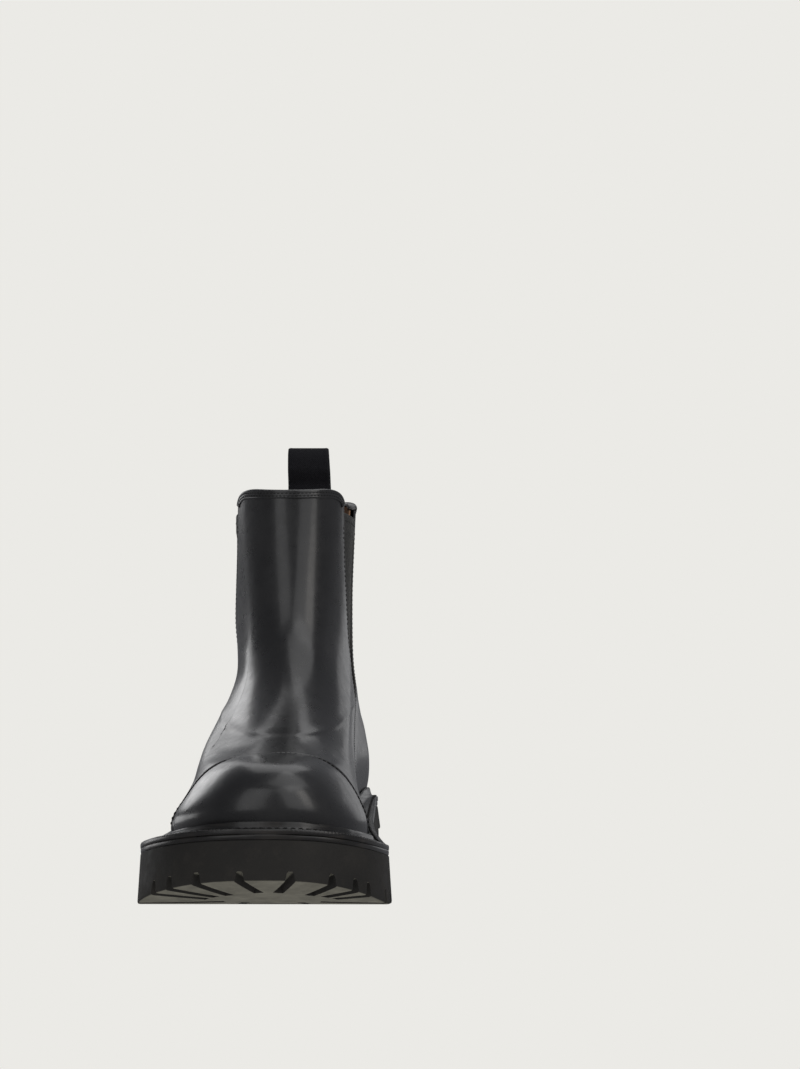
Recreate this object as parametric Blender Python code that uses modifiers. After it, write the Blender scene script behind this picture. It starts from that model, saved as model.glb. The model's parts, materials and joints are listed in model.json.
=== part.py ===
"""Chelsea boot for the right foot: a cap-toe leather upper with elastic gores on a lugged rubber sole.

Metres, +Z up. The toe points to -Y, +X is the medial (inner) side and -X the lateral (outer) side.
The origin is on the ground under the middle of the boot's bounding box.

The upper is one smooth surface, last_point(turn, v). v runs from 0 at the feather line, where the upper
meets the welt, to 1 at the topline. turn runs round the boot: 0 at the toe and shin, +pi/2 on the medial
side, -pi/2 on the lateral side and pi at the heel. Every panel, lining and stiffener is a patch of that
surface at its own depth in the stack of layers.
"""

import math

import bmesh
import bpy
import numpy as np
from mathutils import Matrix, Vector

MM = 0.001

# Driving dimensions, in millimetres.
SOLE_LENGTH = 310.0
SHIFT_X = 5.6  # moves the sole's axis so that the bounding box is centred on the origin
BALL_Y = -60.0  # the widest station, at the ball of the foot
BALL_BED = 27.0  # height of the feather line at the ball
TOE_SPRING = 8.5
HEEL_RISE = 23.0
RISE_RUN = 150.0  # length over which the bed climbs from ball to heel
WELT = 2.4
MIDSOLE = 2.2
STORM_RIDGE = 4.6
GAP = 0.3
HEEL_BREAST_Y = 47.0
HEEL_TOP_LIFT = 9.0
OUTSOLE_HEEL = 12.0  # outsole thickness over the heel block
TREAD_DEPTH = 6.5
TOE_TIP_Y = -0.5 * SOLE_LENGTH
HEEL_END_Y = 0.5 * SOLE_LENGTH

# Depths of the upper's layers below its outer surface, as (outer face, thickness).
LEATHER = (0.0, 1.2)
OVERLAY = (1.9, 1.2)
STIFFENER = (-1.65, 0.7)
LINING = (-2.8, 0.8)

# Levels of the upper from the feather line to the topline, in millimetres. Each holds the front end (y,
# height over the bed), the back end (y, height over the bed), the lateral and medial half widths at the
# ball, the waist and the heel, the share of the length that rounds off at the front and at the back, the
# bluntness, and how far the level's own axis lies to the medial side.
LEVELS = (
    (-146, 0, 142, 0, 49.0, 41.0, 37.0, 29.0, 34.0, 32.2, 0.30, 0.19, 2.3, 0.0),
    (-149, 9.5, 146.5, 10, 50.3, 42.0, 39.5, 30.2, 36.5, 33.8, 0.30, 0.20, 2.3, 0.0),
    (-146, 19.5, 148, 21, 45.4, 38.8, 40.0, 31.0, 37.0, 34.0, 0.31, 0.21, 2.25, 0.0),
    (-136, 28.6, 147.5, 30, 41.2, 35.2, 39.3, 31.0, 36.5, 33.5, 0.32, 0.22, 2.2, -0.5),
    (-116, 36, 146, 37, 40.0, 32.4, 38.2, 30.5, 36.0, 32.8, 0.34, 0.23, 2.1, -1.0),
    (-92, 41, 144.5, 43, 38.8, 30.8, 36.4, 30.0, 34.8, 31.6, 0.37, 0.25, 2.05, -1.4),
    (-64, 47.5, 143, 49, 35.4, 30.0, 33.4, 29.6, 33.0, 30.6, 0.41, 0.28, 2.0, -1.5),
    (-36, 57, 141.5, 56, 31.4, 29.0, 30.2, 29.0, 30.6, 29.6, 0.45, 0.32, 2.0, -1.3),
    (-12, 68, 140, 64, 28.8, 28.2, 28.4, 28.2, 29.2, 28.8, 0.48, 0.37, 2.0, -1.6),
    (6, 81, 138.5, 74, 28.6, 28.4, 28.4, 28.4, 28.6, 28.6, 0.50, 0.39, 2.05, -2.5),
    (18, 96.5, 137.5, 88, 29.4, 29.4, 29.4, 29.4, 29.4, 29.4, 0.50, 0.41, 2.1, -3.4),
    (25, 115, 137, 106, 29.9, 30.0, 29.9, 30.0, 29.9, 30.0, 0.50, 0.42, 2.15, -3.8),
    (28.5, 136, 137.5, 127, 29.9, 30.5, 29.9, 31.0, 29.9, 31.0, 0.50, 0.43, 2.2, -4.0),
    (30, 159.5, 139, 151, 30.0, 31.2, 30.0, 32.4, 30.0, 32.4, 0.50, 0.44, 2.2, -4.2),
)
BALL_SHARES = (0.37, 0.25)  # the sole and upper are widest here, on the lateral and the medial side
WAIST_SHARE, HEEL_SHARE = 0.58, 0.85
RIDGE_X = 2.5  # the toe's ridge lies a little to the medial side

# The sole's plan, in the same form: half widths, rounded shares and bluntness.
SOLE_PLAN = (64.0, 52.5, 52.0, 40.5, 42.0, 38.5, 0.27, 0.17, 2.5, 0.0)
SOLE_FLARE = 1.3  # the rubber spreads this much from its top edge to the ground
EDGE_INSET = 0.8  # welt and midsole stand back from the rubber's edge

# Panel edges as (v, y in mm): the front edge of each gore with the side seam below it, and its rear edge.
TOP_LEVEL = len(LEVELS) - 1
GORE_V = 6.5 / TOP_LEVEL
FLEX_V = 7.6 / TOP_LEVEL
FRONT_EDGE = ((0, -22), (2, 0), (4, 30), (5.5, 58), (6.5, 71), (8, 67), (10, 59), (13, 55))
REAR_EDGE = ((6.5, 80), (8, 93), (10, 103), (13, 108))
SEAM_GAP = 1.4
CAP_Y = -94.0  # the toe cap's seam crosses the ridge here
CAP_SWEEP = 3.0  # and runs this much further back where it meets the welt
CAP_SKEW = 14.0  # more on the medial side and less on the lateral side
CAP_LAP = 7.0  # the vamp runs on under the cap

COLOURS = {
    "leather": ((0.012, 0.012, 0.013, 1), 0.28),
    "lining": ((0.33, 0.17, 0.08, 1), 0.6),
    "elastic": ((0.045, 0.045, 0.045, 1), 0.9),
    "webbing": ((0.01, 0.01, 0.013, 1), 0.85),
    "rubber": ((0.018, 0.018, 0.018, 1), 0.7),
    "board": ((0.35, 0.22, 0.12, 1), 0.8),
    "cork": ((0.40, 0.25, 0.13, 1), 0.9),
    "steel": ((0.55, 0.55, 0.56, 1), 0.3),
    "thread": ((0.02, 0.02, 0.02, 1), 0.7),
}


def smooth(t):
    t = min(max(t, 0.0), 1.0)
    return t * t * (3 - 2 * t)


def bed(y):
    """Height of the feather line at station y: toe spring before the ball, a rise to the heel behind it."""
    spring = TOE_SPRING * (max(0.0, BALL_Y - y) / (BALL_Y - TOE_TIP_Y)) ** 2
    return BALL_BED + spring + HEEL_RISE * smooth((y - BALL_Y) / RISE_RUN)


def ground_profile(y):
    """Height of the tread's lowest face at station y: it lifts in front of the ball."""
    return 12.0 * (max(0.0, -88.0 - y) / 67.0) ** 1.6


def spline(a, b, c, d, t):
    """Catmull-Rom value between b and c."""
    return b + 0.5 * t * (c - a + t * (2 * a - 5 * b + 4 * c - d + t * (3 * (b - c) + d - a)))


def level(v):
    """The row of LEVELS at v, interpolated."""
    place = min(max(v, 0.0), 1.0) * TOP_LEVEL
    i = min(int(place), TOP_LEVEL - 1)
    rows = [LEVELS[min(max(k, 0), TOP_LEVEL)] for k in (i - 1, i, i + 1, i + 2)]
    return [spline(*column, place - i) for column in zip(*rows)]


def along(table, v):
    """The y of a panel edge at v, between the table's points."""
    place = v * TOP_LEVEL
    points = [table[0], *table, table[-1]]
    for a, b, c, d in zip(points, points[1:], points[2:], points[3:]):
        if place <= c[0]:
            break
    t = (place - b[0]) / (c[0] - b[0])
    return spline(a[1], b[1], c[1], d[1], min(max(t, 0.0), 1.0))


def half_width(plan, share, side):
    """Half width of a plan outline on one side before its ends are rounded off."""
    k = 1 if side > 0 else 0
    to_waist = smooth((share - BALL_SHARES[k]) / (WAIST_SHARE - BALL_SHARES[k]))
    to_heel = smooth((share - WAIST_SHARE) / (HEEL_SHARE - WAIST_SHARE))
    return plan[k] + (plan[k + 2] - plan[k]) * to_waist + (plan[k + 4] - plan[k + 2]) * to_heel


def end_rounding(share, front, back, blunt):
    """1 along the middle of an outline, falling to 0 at its two ends like a superellipse."""
    out = max(0.0, 1 - share / front, 1 - (1 - share) / back)
    return max(0.0, 1 - out**blunt) ** (1 / blunt)


def plan_x(plan, share, side, ridge=0.0):
    """x of an outline on one side (+1 medial, -1 lateral) at a share of its length."""
    rounding = end_rounding(share, *plan[6:9])
    ends = plan[9] + ridge * (1 - share) * (1 - rounding)
    return ends + side * half_width(plan, share, side) * rounding


def last_point(turn, v):
    """The upper's outer surface, in millimetres."""
    front_y, front_h, back_y, back_h, *plan = level(v)
    share = 0.5 * (1 - math.cos(turn))
    y = front_y + share * (back_y - front_y)
    x = plan_x(plan, share, 1 if math.sin(turn) >= 0 else -1, RIDGE_X)
    return Vector((x, y, bed(y) + front_h + (back_h - front_h) * share))


def last_frame(turn, v):
    """Point, outward normal and upward tangent of the upper's surface."""
    step = 0.01
    low, high = max(v - step / 2, 0.0), min(v + step / 2, 1.0)
    round_ = last_point(turn + step, v) - last_point(turn - step, v)
    up = (last_point(turn, high) - last_point(turn, low)).normalized()
    return last_point(turn, v), round_.cross(up).normalized(), up


def turn_at(y, v):
    """The turn at which the surface has station y at level v."""
    front_y, _, back_y, *_ = level(v)
    share = min(max((y - front_y) / (back_y - front_y), 0.0), 1.0)
    return math.acos(1 - 2 * share)


def placed(point):
    """A point in millimetres on the sole's axis, as metres in the part's frame."""
    return Vector((point.x + SHIFT_X, point.y, point.z)) * MM


def material(name):
    found = bpy.data.materials.get(name)
    if found:
        return found
    colour, roughness = COLOURS[name]
    made = bpy.data.materials.new(name)
    made.use_nodes = True
    shader = made.node_tree.nodes["Principled BSDF"]
    shader.inputs["Base Color"].default_value = colour
    shader.inputs["Roughness"].default_value = roughness
    shader.inputs["Metallic"].default_value = 1.0 if name == "steel" else 0.0
    return made


def finish(mesh, name, finish_name, collection):
    """Closes a bmesh into a named object with its material, shaded smooth but for sharp edges."""
    data = bpy.data.meshes.new(name)
    mesh.to_mesh(data)
    mesh.free()
    data.materials.append(material(finish_name))
    data.shade_smooth()
    data.set_sharp_from_angle(angle=math.radians(35))
    made = bpy.data.objects.new(name, data)
    collection.objects.link(made)
    return made


def patch(name, finish_name, columns, rows, where, layer):
    """A sheet laid on the upper; layer is (depth, thickness).

    where(a, b) gives (turn, v) for a and b from 0 to 1.
    """
    depth, thickness = layer
    mesh = bmesh.new()
    bmesh.ops.create_grid(mesh, x_segments=columns, y_segments=rows, size=0.5)
    for vertex in mesh.verts:
        turn, v = where(vertex.co.x + 0.5, vertex.co.y + 0.5)
        point, normal, _ = last_frame(turn, v)
        vertex.co = placed(point + normal * depth)
    made = finish(mesh, name, finish_name, BOOT)
    shell = made.modifiers.new("thickness", "SOLIDIFY")
    shell.thickness = thickness * MM
    shell.offset = -1.0
    return made


def loft(name, finish_name, sections, closed=False, collection=None):
    """A solid through unlike sections, each a ring of the same number of points."""
    mesh = bmesh.new()
    rings = [[mesh.verts.new(p) for p in section] for section in sections]
    following = rings[1:] + ([rings[0]] if closed else [])
    for ring, after in zip(rings, following):
        for k in range(len(ring)):
            mesh.faces.new((ring[k - 1], ring[k], after[k], after[k - 1]))
    if not closed:
        mesh.faces.new(rings[0])
        mesh.faces.new(list(reversed(rings[-1])))
    bmesh.ops.recalc_face_normals(mesh, faces=mesh.faces)
    for vertex in mesh.verts:
        vertex.co = placed(vertex.co)
    return finish(mesh, name, finish_name, collection or BOOT)


def slab(name, finish_name, outline, top, bottom, span=(TOE_TIP_Y, HEEL_END_Y), stations=30):
    """A sole layer of sections along y; outline(y, side, where) gives x at the "top" or the "bottom"."""
    start, end = span
    sections = []
    for k in range(stations + 1):
        y = start + (end - start) * 0.5 * (1 - math.cos(math.pi * k / stations))
        sections.append(
            [Vector((outline(y, side, "bottom"), y, bottom(y))) for side in (-1, 1)]
            + [Vector((outline(y, 1, "top"), y, top(y))), Vector((outline(y, -1, "top"), y, top(y)))]
        )
    return loft(name, finish_name, sections)


def sole_edge(inset):
    """Outline function of the sole's plan, drawn in by inset millimetres."""
    end = 0.3 + inset  # the flat at the very toe and heel

    def outline(y, side, where):
        share = (min(max(y, TOE_TIP_Y + end), HEEL_END_Y - end) - TOE_TIP_Y) / SOLE_LENGTH
        return plan_x(SOLE_PLAN, share, side) - side * inset

    return outline


def rubber_edge(y, side, where):
    flare = SOLE_FLARE if where == "bottom" else 0.0
    return sole_edge(0.0)(y, side, where) + side * (flare - SOLE_FLARE / 2)


def inner_edge(inset):
    """Outline function of a sheet inside the upper's foot, inset millimetres from it all round."""
    sides = {}
    for side in (-1, 1):
        points = []
        for k in range(1, 180):
            point, normal, _ = last_frame(side * math.pi * k / 180, 0.0)
            points.append(point - Vector((normal.x, normal.y, 0)).normalized() * inset)
        points.sort(key=lambda p: p.y)
        sides[side] = [p.y for p in points], [p.x for p in points]

    def outline(y, side, where):
        return float(np.interp(y, *sides[side]))

    return outline


def cut(target, cutters):
    """Cuts every object of a collection out of target."""
    modifier = target.modifiers.new("cut", "BOOLEAN")
    modifier.operation = "DIFFERENCE"
    modifier.operand_type = "COLLECTION"
    modifier.collection = cutters
    modifier.solver = "EXACT"


def cutter_collection(name):
    made = bpy.data.collections.new(name)
    CUTTERS.children.link(made)
    return made


def hide(cutter):
    cutter.hide_render = True
    cutter.display_type = "WIRE"


def groove(collection, x, y, length, width, angle, depth=TREAD_DEPTH):
    """A V-sided groove in the tread, centred on (x, y), running along angle (degrees from +X)."""
    mesh = bmesh.new()
    bmesh.ops.create_cube(mesh, size=1.0)
    turn = Matrix.Rotation(math.radians(angle), 3, "Z")
    for vertex in mesh.verts:
        upper = vertex.co.z > 0
        half = Vector((vertex.co.x * length, vertex.co.y * width * (0.3 if upper else 1.4), 0))
        plan = turn @ half
        here_x, here_y = x + plan.x, y + plan.y
        z = ground_profile(here_y) + (depth if upper else -4.0)
        vertex.co = placed(Vector((here_x, here_y, z)))
    hide(finish(mesh, "groove", "rubber", collection))


def drill(collection, x, y, radius, low, high):
    """An upright round hole."""
    mesh = bmesh.new()
    bmesh.ops.create_cone(mesh, cap_ends=True, segments=12, radius1=radius, radius2=radius, depth=high - low)
    for vertex in mesh.verts:
        vertex.co = placed(vertex.co + Vector((x, y, 0.5 * (low + high))))
    hide(finish(mesh, "drill", "steel", collection))


# ---------------------------------------------------------------- the sole


def tread_grooves():
    """Grooves of the forepart tread: radial at the toe, across the sides, a broken channel at the middle."""
    grooves = cutter_collection("tread grooves")
    for side in (-1, 1):
        for x, y, angle in ((8.6, -146, 18), (25, -138.8, 30), (35, -131.9, 48), (41.4, -124, 62)):
            groove(grooves, side * x, y, 28, 4.6, 90 + side * angle, TREAD_DEPTH)
        for k in range(7):
            y = -106 + 18.5 * k
            edge = plan_x(SOLE_PLAN, (y - TOE_TIP_Y) / SOLE_LENGTH, side)
            groove(grooves, 0.5 * edge + side * 14, y + 3, abs(edge) - 15, 4.6, side * 12)
        for k in range(6):
            y = -96 + 18.5 * k
            groove(grooves, side * 15, y, 17, 3.6, 90 + side * (16 if k % 2 else -16))
    for k in range(6):
        groove(grooves, -1, -96 + 18.5 * k, 22, 3.2, 0)
    return grooves


def heel_grooves():
    grooves = cutter_collection("heel grooves")
    for side in (-1, 1):
        for k in range(4):
            groove(grooves, side * 33, 68 + 19 * k, 30, 4.6, side * 10)
        for k in range(3):
            groove(grooves, side * 13, 78 + 19 * k, 17, 3.6, 90 + side * (14 if k % 2 else -14))
    groove(grooves, -12, 151, 26, 4.6, 80)
    groove(grooves, 12, 151, 26, 4.6, 100)
    for k in range(3):
        groove(grooves, 0, 68.5 + 19 * k, 20, 3.2, 0)
    return grooves


SCREW_SPOTS = [(side * 15, y) for y in (84, 122) for side in (-1, 1)]
SCREW_RADIUS = 1.6
SCREW_HEAD = 3.4
HEAD_SEAT = 1.2  # height of the counterbore's floor over the feather line


def screw_holes(name, low, high):
    """Holes for the screws' shanks, and counterbores for their heads from the insole's depth upwards."""
    holes = cutter_collection(name)
    for x, y in SCREW_SPOTS:
        drill(holes, x, y, SCREW_RADIUS + GAP, low, high)
        if high > bed(y) + HEAD_SEAT:
            drill(holes, x, y, SCREW_HEAD + GAP, bed(y) + HEAD_SEAT, high + 1)
    return holes


def outsole_bottom(y):
    """The outsole's underside: tread under the forepart, then up into the arch and over the heel block."""
    seat = bed(y) - WELT - MIDSOLE - OUTSOLE_HEEL
    rise = smooth((y - 12.0) / 26.0)
    return ground_profile(y) * (1 - rise) + seat * rise


def sole():
    seat = lambda y: bed(y) - WELT - MIDSOLE - 2 * GAP
    outsole = slab("outsole", "rubber", rubber_edge, seat, outsole_bottom, stations=34)
    cut(outsole, tread_grooves())
    cut(outsole, screw_holes("outsole screw holes", 20, 50))

    midsole_top = lambda y: bed(y) - WELT - GAP
    edge = sole_edge(EDGE_INSET)
    midsole = slab("midsole", "leather", edge, midsole_top, lambda y: midsole_top(y) - MIDSOLE)
    cut(midsole, screw_holes("midsole screw holes", 20, 50))

    heel_span = (HEEL_BREAST_Y, HEEL_END_Y)
    lift_top = lambda y: outsole_bottom(y) - GAP
    lift = slab("heel_lift", "rubber", rubber_edge, lift_top, lambda y: HEEL_TOP_LIFT + GAP, heel_span, 16)
    cut(lift, screw_holes("lift screw holes", 16, 50))
    level_top, ground = lambda y: HEEL_TOP_LIFT, lambda y: 0.0
    top_lift = slab("heel_top_lift", "rubber", rubber_edge, level_top, ground, heel_span, 16)
    cut(top_lift, heel_grooves())


def ridge_clearance(y):
    """Space from the upper's surface to the storm ridge: wider where the toe cap and the backstay lie."""
    bare = smooth((y - CAP_Y - CAP_SWEEP - CAP_SKEW) / 8.0) * smooth((132.0 - y) / 8.0)
    return OVERLAY[0] + 0.8 - (OVERLAY[0] - 0.1) * bare


def welt_section(turn):
    """Flange and upright storm ridge of the welt at one turn, as a ring of points."""
    foot, normal, _ = last_frame(turn, 0.0)
    outward = Vector((normal.x, normal.y, 0)).normalized()
    share = 0.5 * (1 - math.cos(turn))
    y = TOE_TIP_Y + EDGE_INSET + share * (SOLE_LENGTH - 2 * EDGE_INSET)
    side = 1 if math.sin(turn) >= 0 else -1
    x = plan_x(SOLE_PLAN, min(max((y - TOE_TIP_Y) / SOLE_LENGTH, 0), 1), side)
    edge = Vector((x - math.sin(turn) * EDGE_INSET, y, 0))
    clear = ridge_clearance(foot.y)
    crest = last_point(turn, STORM_RIDGE / 10 / TOP_LEVEL)
    places = (edge, foot + outward * (clear + 3.4), crest + outward * clear)
    places += (foot + outward * clear, foot - outward * 5.0)
    edge, ridge_out, crest, ridge_foot, inner = [Vector((p.x, p.y, bed(p.y))) for p in places]
    rise = Vector((0, 0, STORM_RIDGE))
    down = Vector((0, 0, -WELT))
    slack = Vector((0, 0, -0.05))
    return [
        inner + down,
        edge + down,
        edge,
        ridge_out,
        crest + rise + outward * 1.9,
        crest + rise,
        ridge_foot + slack,
        inner + slack,
    ]


def welt():
    steps = 80
    turns = [2 * math.pi * k / steps - math.pi for k in range(steps)]
    loft("welt", "leather", [welt_section(turn) for turn in turns], closed=True)


def thread_ring():
    """The lock-stitch thread that lies round the welt's flange, just outside the storm ridge."""
    steps = 80
    points = []
    for k in range(steps):
        ring = welt_section(2 * math.pi * k / steps - math.pi)
        point = ring[3].lerp(ring[2], 0.5)
        points.append(placed(Vector((point.x, point.y, bed(point.y) + 0.8))))
    curve = bpy.data.curves.new("welt_thread", "CURVE")
    curve.dimensions = "3D"
    curve.bevel_depth = 0.4 * MM
    curve.bevel_resolution = 0
    line = curve.splines.new("POLY")
    line.points.add(steps - 1)
    for spot, point in zip(line.points, points):
        spot.co = (*point, 1)
    line.use_cyclic_u = True
    curve.materials.append(material("thread"))
    BOOT.objects.link(bpy.data.objects.new("welt_thread", curve))


def inside():
    """Insole board, cork, shank, sock liner and the heel screws."""
    board_top = 2.8
    low, high = lambda y: bed(y) + GAP, lambda y: bed(y) + board_top
    board = slab("insole_board", "board", inner_edge(4.6), high, low, (-141, 137), 24)
    cut(board, screw_holes("board screw holes", 20, 80))
    top, bottom = lambda y: bed(y) - GAP, lambda y: bed(y) - WELT
    cork = slab("cork_filler", "cork", inner_edge(5.6), top, bottom, (-140, 136), 24)
    slot = cutter_collection("shank slot")
    shank_span = (-6.0, 96.0)
    wide = lambda y, side, where: side * 8.0
    hide(slab("slot", "steel", wide, lambda y: bed(y) + 3, lambda y: bed(y) - 6, (-8.0, 98.0), 10))
    made = bpy.data.objects["slot"]
    BOOT.objects.unlink(made)
    slot.objects.link(made)
    cut(cork, slot)
    cut(cork, screw_holes("cork screw holes", 20, 50.5))
    narrow = lambda y, side, where: side * 7.0
    slab("shank", "steel", narrow, lambda y: bed(y) - 0.5, lambda y: bed(y) - 1.8, shank_span, 10)
    low, high = lambda y: bed(y) + board_top + GAP, lambda y: bed(y) + 4.6
    slab("sock_liner", "lining", inner_edge(4.9), high, low, (-140.5, 136.5), 24)
    for k, (x, y) in enumerate(SCREW_SPOTS, 1):
        heel_screw(f"heel_screw_{k}", x, y)


def heel_screw(name, x, y):
    """A flat-headed screw from the insole down into the heel lift: a profile turned about its own axis."""
    head_z = bed(y) + HEAD_SEAT + 1.2
    tip_z = 18.0
    profile = [(0, head_z), (SCREW_HEAD, head_z), (SCREW_HEAD, head_z - 0.9), (SCREW_RADIUS, head_z - 0.9)]
    profile += [(SCREW_RADIUS, tip_z + 3), (0, tip_z)]
    mesh = bmesh.new()
    corners = [mesh.verts.new(Vector((r, 0, z - tip_z)) * MM) for r, z in profile]
    for a, b in zip(corners, corners[1:]):
        mesh.edges.new((a, b))
    made = finish(mesh, name, "steel", BOOT)
    made.location = placed(Vector((x, y, tip_z)))
    lathe = made.modifiers.new("turned", "SCREW")
    lathe.steps = 12
    lathe.render_steps = 12
    lathe.use_merge_vertices = True
    lathe.merge_threshold = 0.00005


# ---------------------------------------------------------------- the upper


def topline_v(near_corner):
    """v of a leather panel's topline; near_corner runs from 0 well inside the panel to 1 at its corner."""
    return 1 - 6.5 / 24.0 / TOP_LEVEL * near_corner**2


def front_turn(p, v):
    """Turn of the front panel's line p, from -1 at its lateral edge to +1 at its medial edge."""
    return p * turn_at(along(FRONT_EDGE, v), v)


def behind_cap(p, v, back):
    """How far the front panel's line p at v lies behind the cap's seam moved back by a distance."""
    turn = front_turn(p, v)
    seam = CAP_Y + CAP_SWEEP * math.sin(turn) ** 2 + CAP_SKEW * math.sin(turn)
    return last_point(turn, v).y - seam - back


def cap_v(p, back=0.0):
    """v at which the front panel's line p crosses the cap's seam, or 0 where it starts behind it."""
    if behind_cap(p, 0.0, back) >= 0:
        return 0.0
    low, high = 0.0, 0.7
    for _ in range(40):
        middle = 0.5 * (low + high)
        if behind_cap(p, middle, back) < 0:
            low = middle
        else:
            high = middle
    return low


def widest_cap_lines(back=0.0):
    """How far out the front panel lines lie whose feet are on the cap's seam, lateral and medial."""
    lines = [p / 400 for p in range(401)]
    return [min(lines, key=lambda p: abs(behind_cap(side * p, 0.0, back))) for side in (-1, 1)]


BOTTOM_V = 0.7 / 10 / TOP_LEVEL  # keeps the leather clear of the welt's flange
OVERLAY_BOTTOM_V = 1.6 / 10 / TOP_LEVEL


def gathered(t, reach):
    """A line p from one reach to the other for t from -1 to 1, with more of the lines near the two ends."""
    return math.copysign(reach[t > 0] * (1 - (1 - abs(t)) ** 1.5), t)


def toe_cap():
    reach = [0.985 * p for p in widest_cap_lines()]
    puff_reach = [0.86 * p for p in reach]

    def where(a, b):
        p = gathered(2 * a - 1, reach)
        v = OVERLAY_BOTTOM_V + b * max(cap_v(p) - OVERLAY_BOTTOM_V, 0.004)
        return front_turn(p, v), v

    patch("toe_cap", "leather", 28, 7, where, OVERLAY)

    def puff(a, b):
        p = gathered(2 * a - 1, puff_reach)
        low = 2 * BOTTOM_V
        v = low + b * max(cap_v(p, -CAP_LAP - 6) - low, 0.004)
        return front_turn(p, v), v

    patch("toe_puff", "board", 20, 5, puff, (-0.15, 1.0))


def corner_share(p, start):
    return max(0.0, (abs(p) - start) / (1 - start))


def vamp():
    under_cap = widest_cap_lines(-CAP_LAP)

    def where(a, b):
        t = 2 * a - 1
        if abs(t) <= 0.75:
            p = gathered(t / 0.75, under_cap)
        else:
            edge = under_cap[t > 0]
            p = math.copysign(edge + (1 - edge) * (abs(t) - 0.75) / 0.25, t)
        low = max(BOTTOM_V, cap_v(p, -CAP_LAP))
        v = low + b * (topline_v(corner_share(p, 0.35)) - low)
        return front_turn(p, v), v

    patch("vamp", "leather", 32, 14, where, LEATHER)

    def lining(a, b):
        p = 2 * a - 1
        v = BOTTOM_V + b * (topline_v(corner_share(p, 0.35)) - BOTTOM_V)
        return front_turn(p, v), v

    patch("vamp_lining", "lining", 22, 16, lining, LINING)


def rear_turn(q, v, side):
    """Turn of the rear panel's line q, from 0 at the gore or side seam to 1 at the back seam."""
    if v >= GORE_V:
        start = turn_at(along(REAR_EDGE, v), v)
    else:
        wide = along(REAR_EDGE, GORE_V) - along(FRONT_EDGE, GORE_V) - SEAM_GAP
        near = smooth((v - GORE_V + 0.04) / 0.04)
        start = turn_at(along(FRONT_EDGE, v) + SEAM_GAP + wide * near, v)
    return side * (start + q * (math.pi - 0.012 - start))


FLEX_GAP = 1.0 / 20 / TOP_LEVEL


def rear_patch(name, finish_name, side, low, high, layer, columns, rows, rounded=False):
    def where(a, b):
        q = a if side > 0 else 1 - a
        top = topline_v(corner_share(1 - q, 0.3)) if rounded else high
        v = low + b * (top - low)
        return rear_turn(q, v, side), v

    patch(name, finish_name, columns, rows, where, layer)


def quarters():
    """The rear of the upper: two halves that meet at the back seam, split where the shaft flexes."""
    for side, word in ((1, "medial"), (-1, "lateral")):
        rear_patch(f"quarter_{word}", "leather", side, BOTTOM_V, FLEX_V - FLEX_GAP, LEATHER, 14, 8)
        rear_patch(f"shaft_{word}", "leather", side, FLEX_V + FLEX_GAP, 1, LEATHER, 10, 6, True)


def back_sheet(name, finish_name, low, high, spread, layer, columns, rows, rounded=False):
    """A sheet wrapped round the back from one rear edge to the other; spread is its reach forward."""

    def where(a, b):
        q = 1 - spread * abs(2 * a - 1)
        side = 1 if a < 0.5 else -1
        top = topline_v(corner_share(1 - q, 0.3)) if rounded else high
        v = low + b * (top - low)
        turn = rear_turn(q, v, side)
        if a == 0.5:
            turn = math.pi
        return turn % (2 * math.pi), v

    patch(name, finish_name, columns, rows, where, layer)


def back_of_boot():
    back_sheet("quarter_lining", "lining", BOTTOM_V, FLEX_V - FLEX_GAP, 1.0, LINING, 28, 8)
    back_sheet("shaft_lining", "lining", FLEX_V + FLEX_GAP, 1, 1.0, LINING, 20, 6, True)
    back_sheet("heel_counter", "board", 2 * BOTTOM_V, 4.6 / TOP_LEVEL, 9 / 14, STIFFENER, 18, 5)
    for name, low, high in (
        ("backstay", OVERLAY_BOTTOM_V, FLEX_V - FLEX_GAP),
        ("shaft_backstay", FLEX_V + FLEX_GAP, 1 - 0.3 / TOP_LEVEL),
    ):
        backstay(name, low, high)


def backstay(name, low, high):
    """The strip over the back seam, which widens towards the sole."""

    def where(a, b):
        v = low + b * (high - low)
        half = 15.0 - 5.0 * smooth(v / FLEX_V)
        front_y, _, back_y, _, *plan = level(v)
        reach = half / half_width(plan, 1.0, 1)
        share = 1 - 0.5 * plan[7] * reach**2
        turn = math.acos(1 - 2 * share)
        return math.pi + (math.pi - turn) * (2 * a - 1), v

    patch(name, "leather", 4, 8 if low < FLEX_V / 2 else 6, where, OVERLAY)


def gores():
    """Elastic panels. Each runs a little under the leather on both sides and dips between them at the top."""
    lap = 5.0

    def where_on(side):
        def where(a, b):
            share = a if side > 0 else 1 - a
            low = GORE_V - 0.25 / TOP_LEVEL
            dip = (8.5 + 3.0 * math.sin(math.pi * share)) / 25.0 / TOP_LEVEL
            v = low + b * (1 - dip - low)
            front = along(FRONT_EDGE, v) - lap
            rear = along(REAR_EDGE, max(v, GORE_V)) + lap
            return side * turn_at(front + share * (rear - front), v), v

        return where

    for side, word in ((1, "medial"), (-1, "lateral")):
        patch(f"gore_{word}", "elastic", 8, 9, where_on(side), STIFFENER)


BINDING_WALL = 0.7
BINDING_CLEAR = 0.35
BINDING_HEIGHT = 3.6


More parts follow.
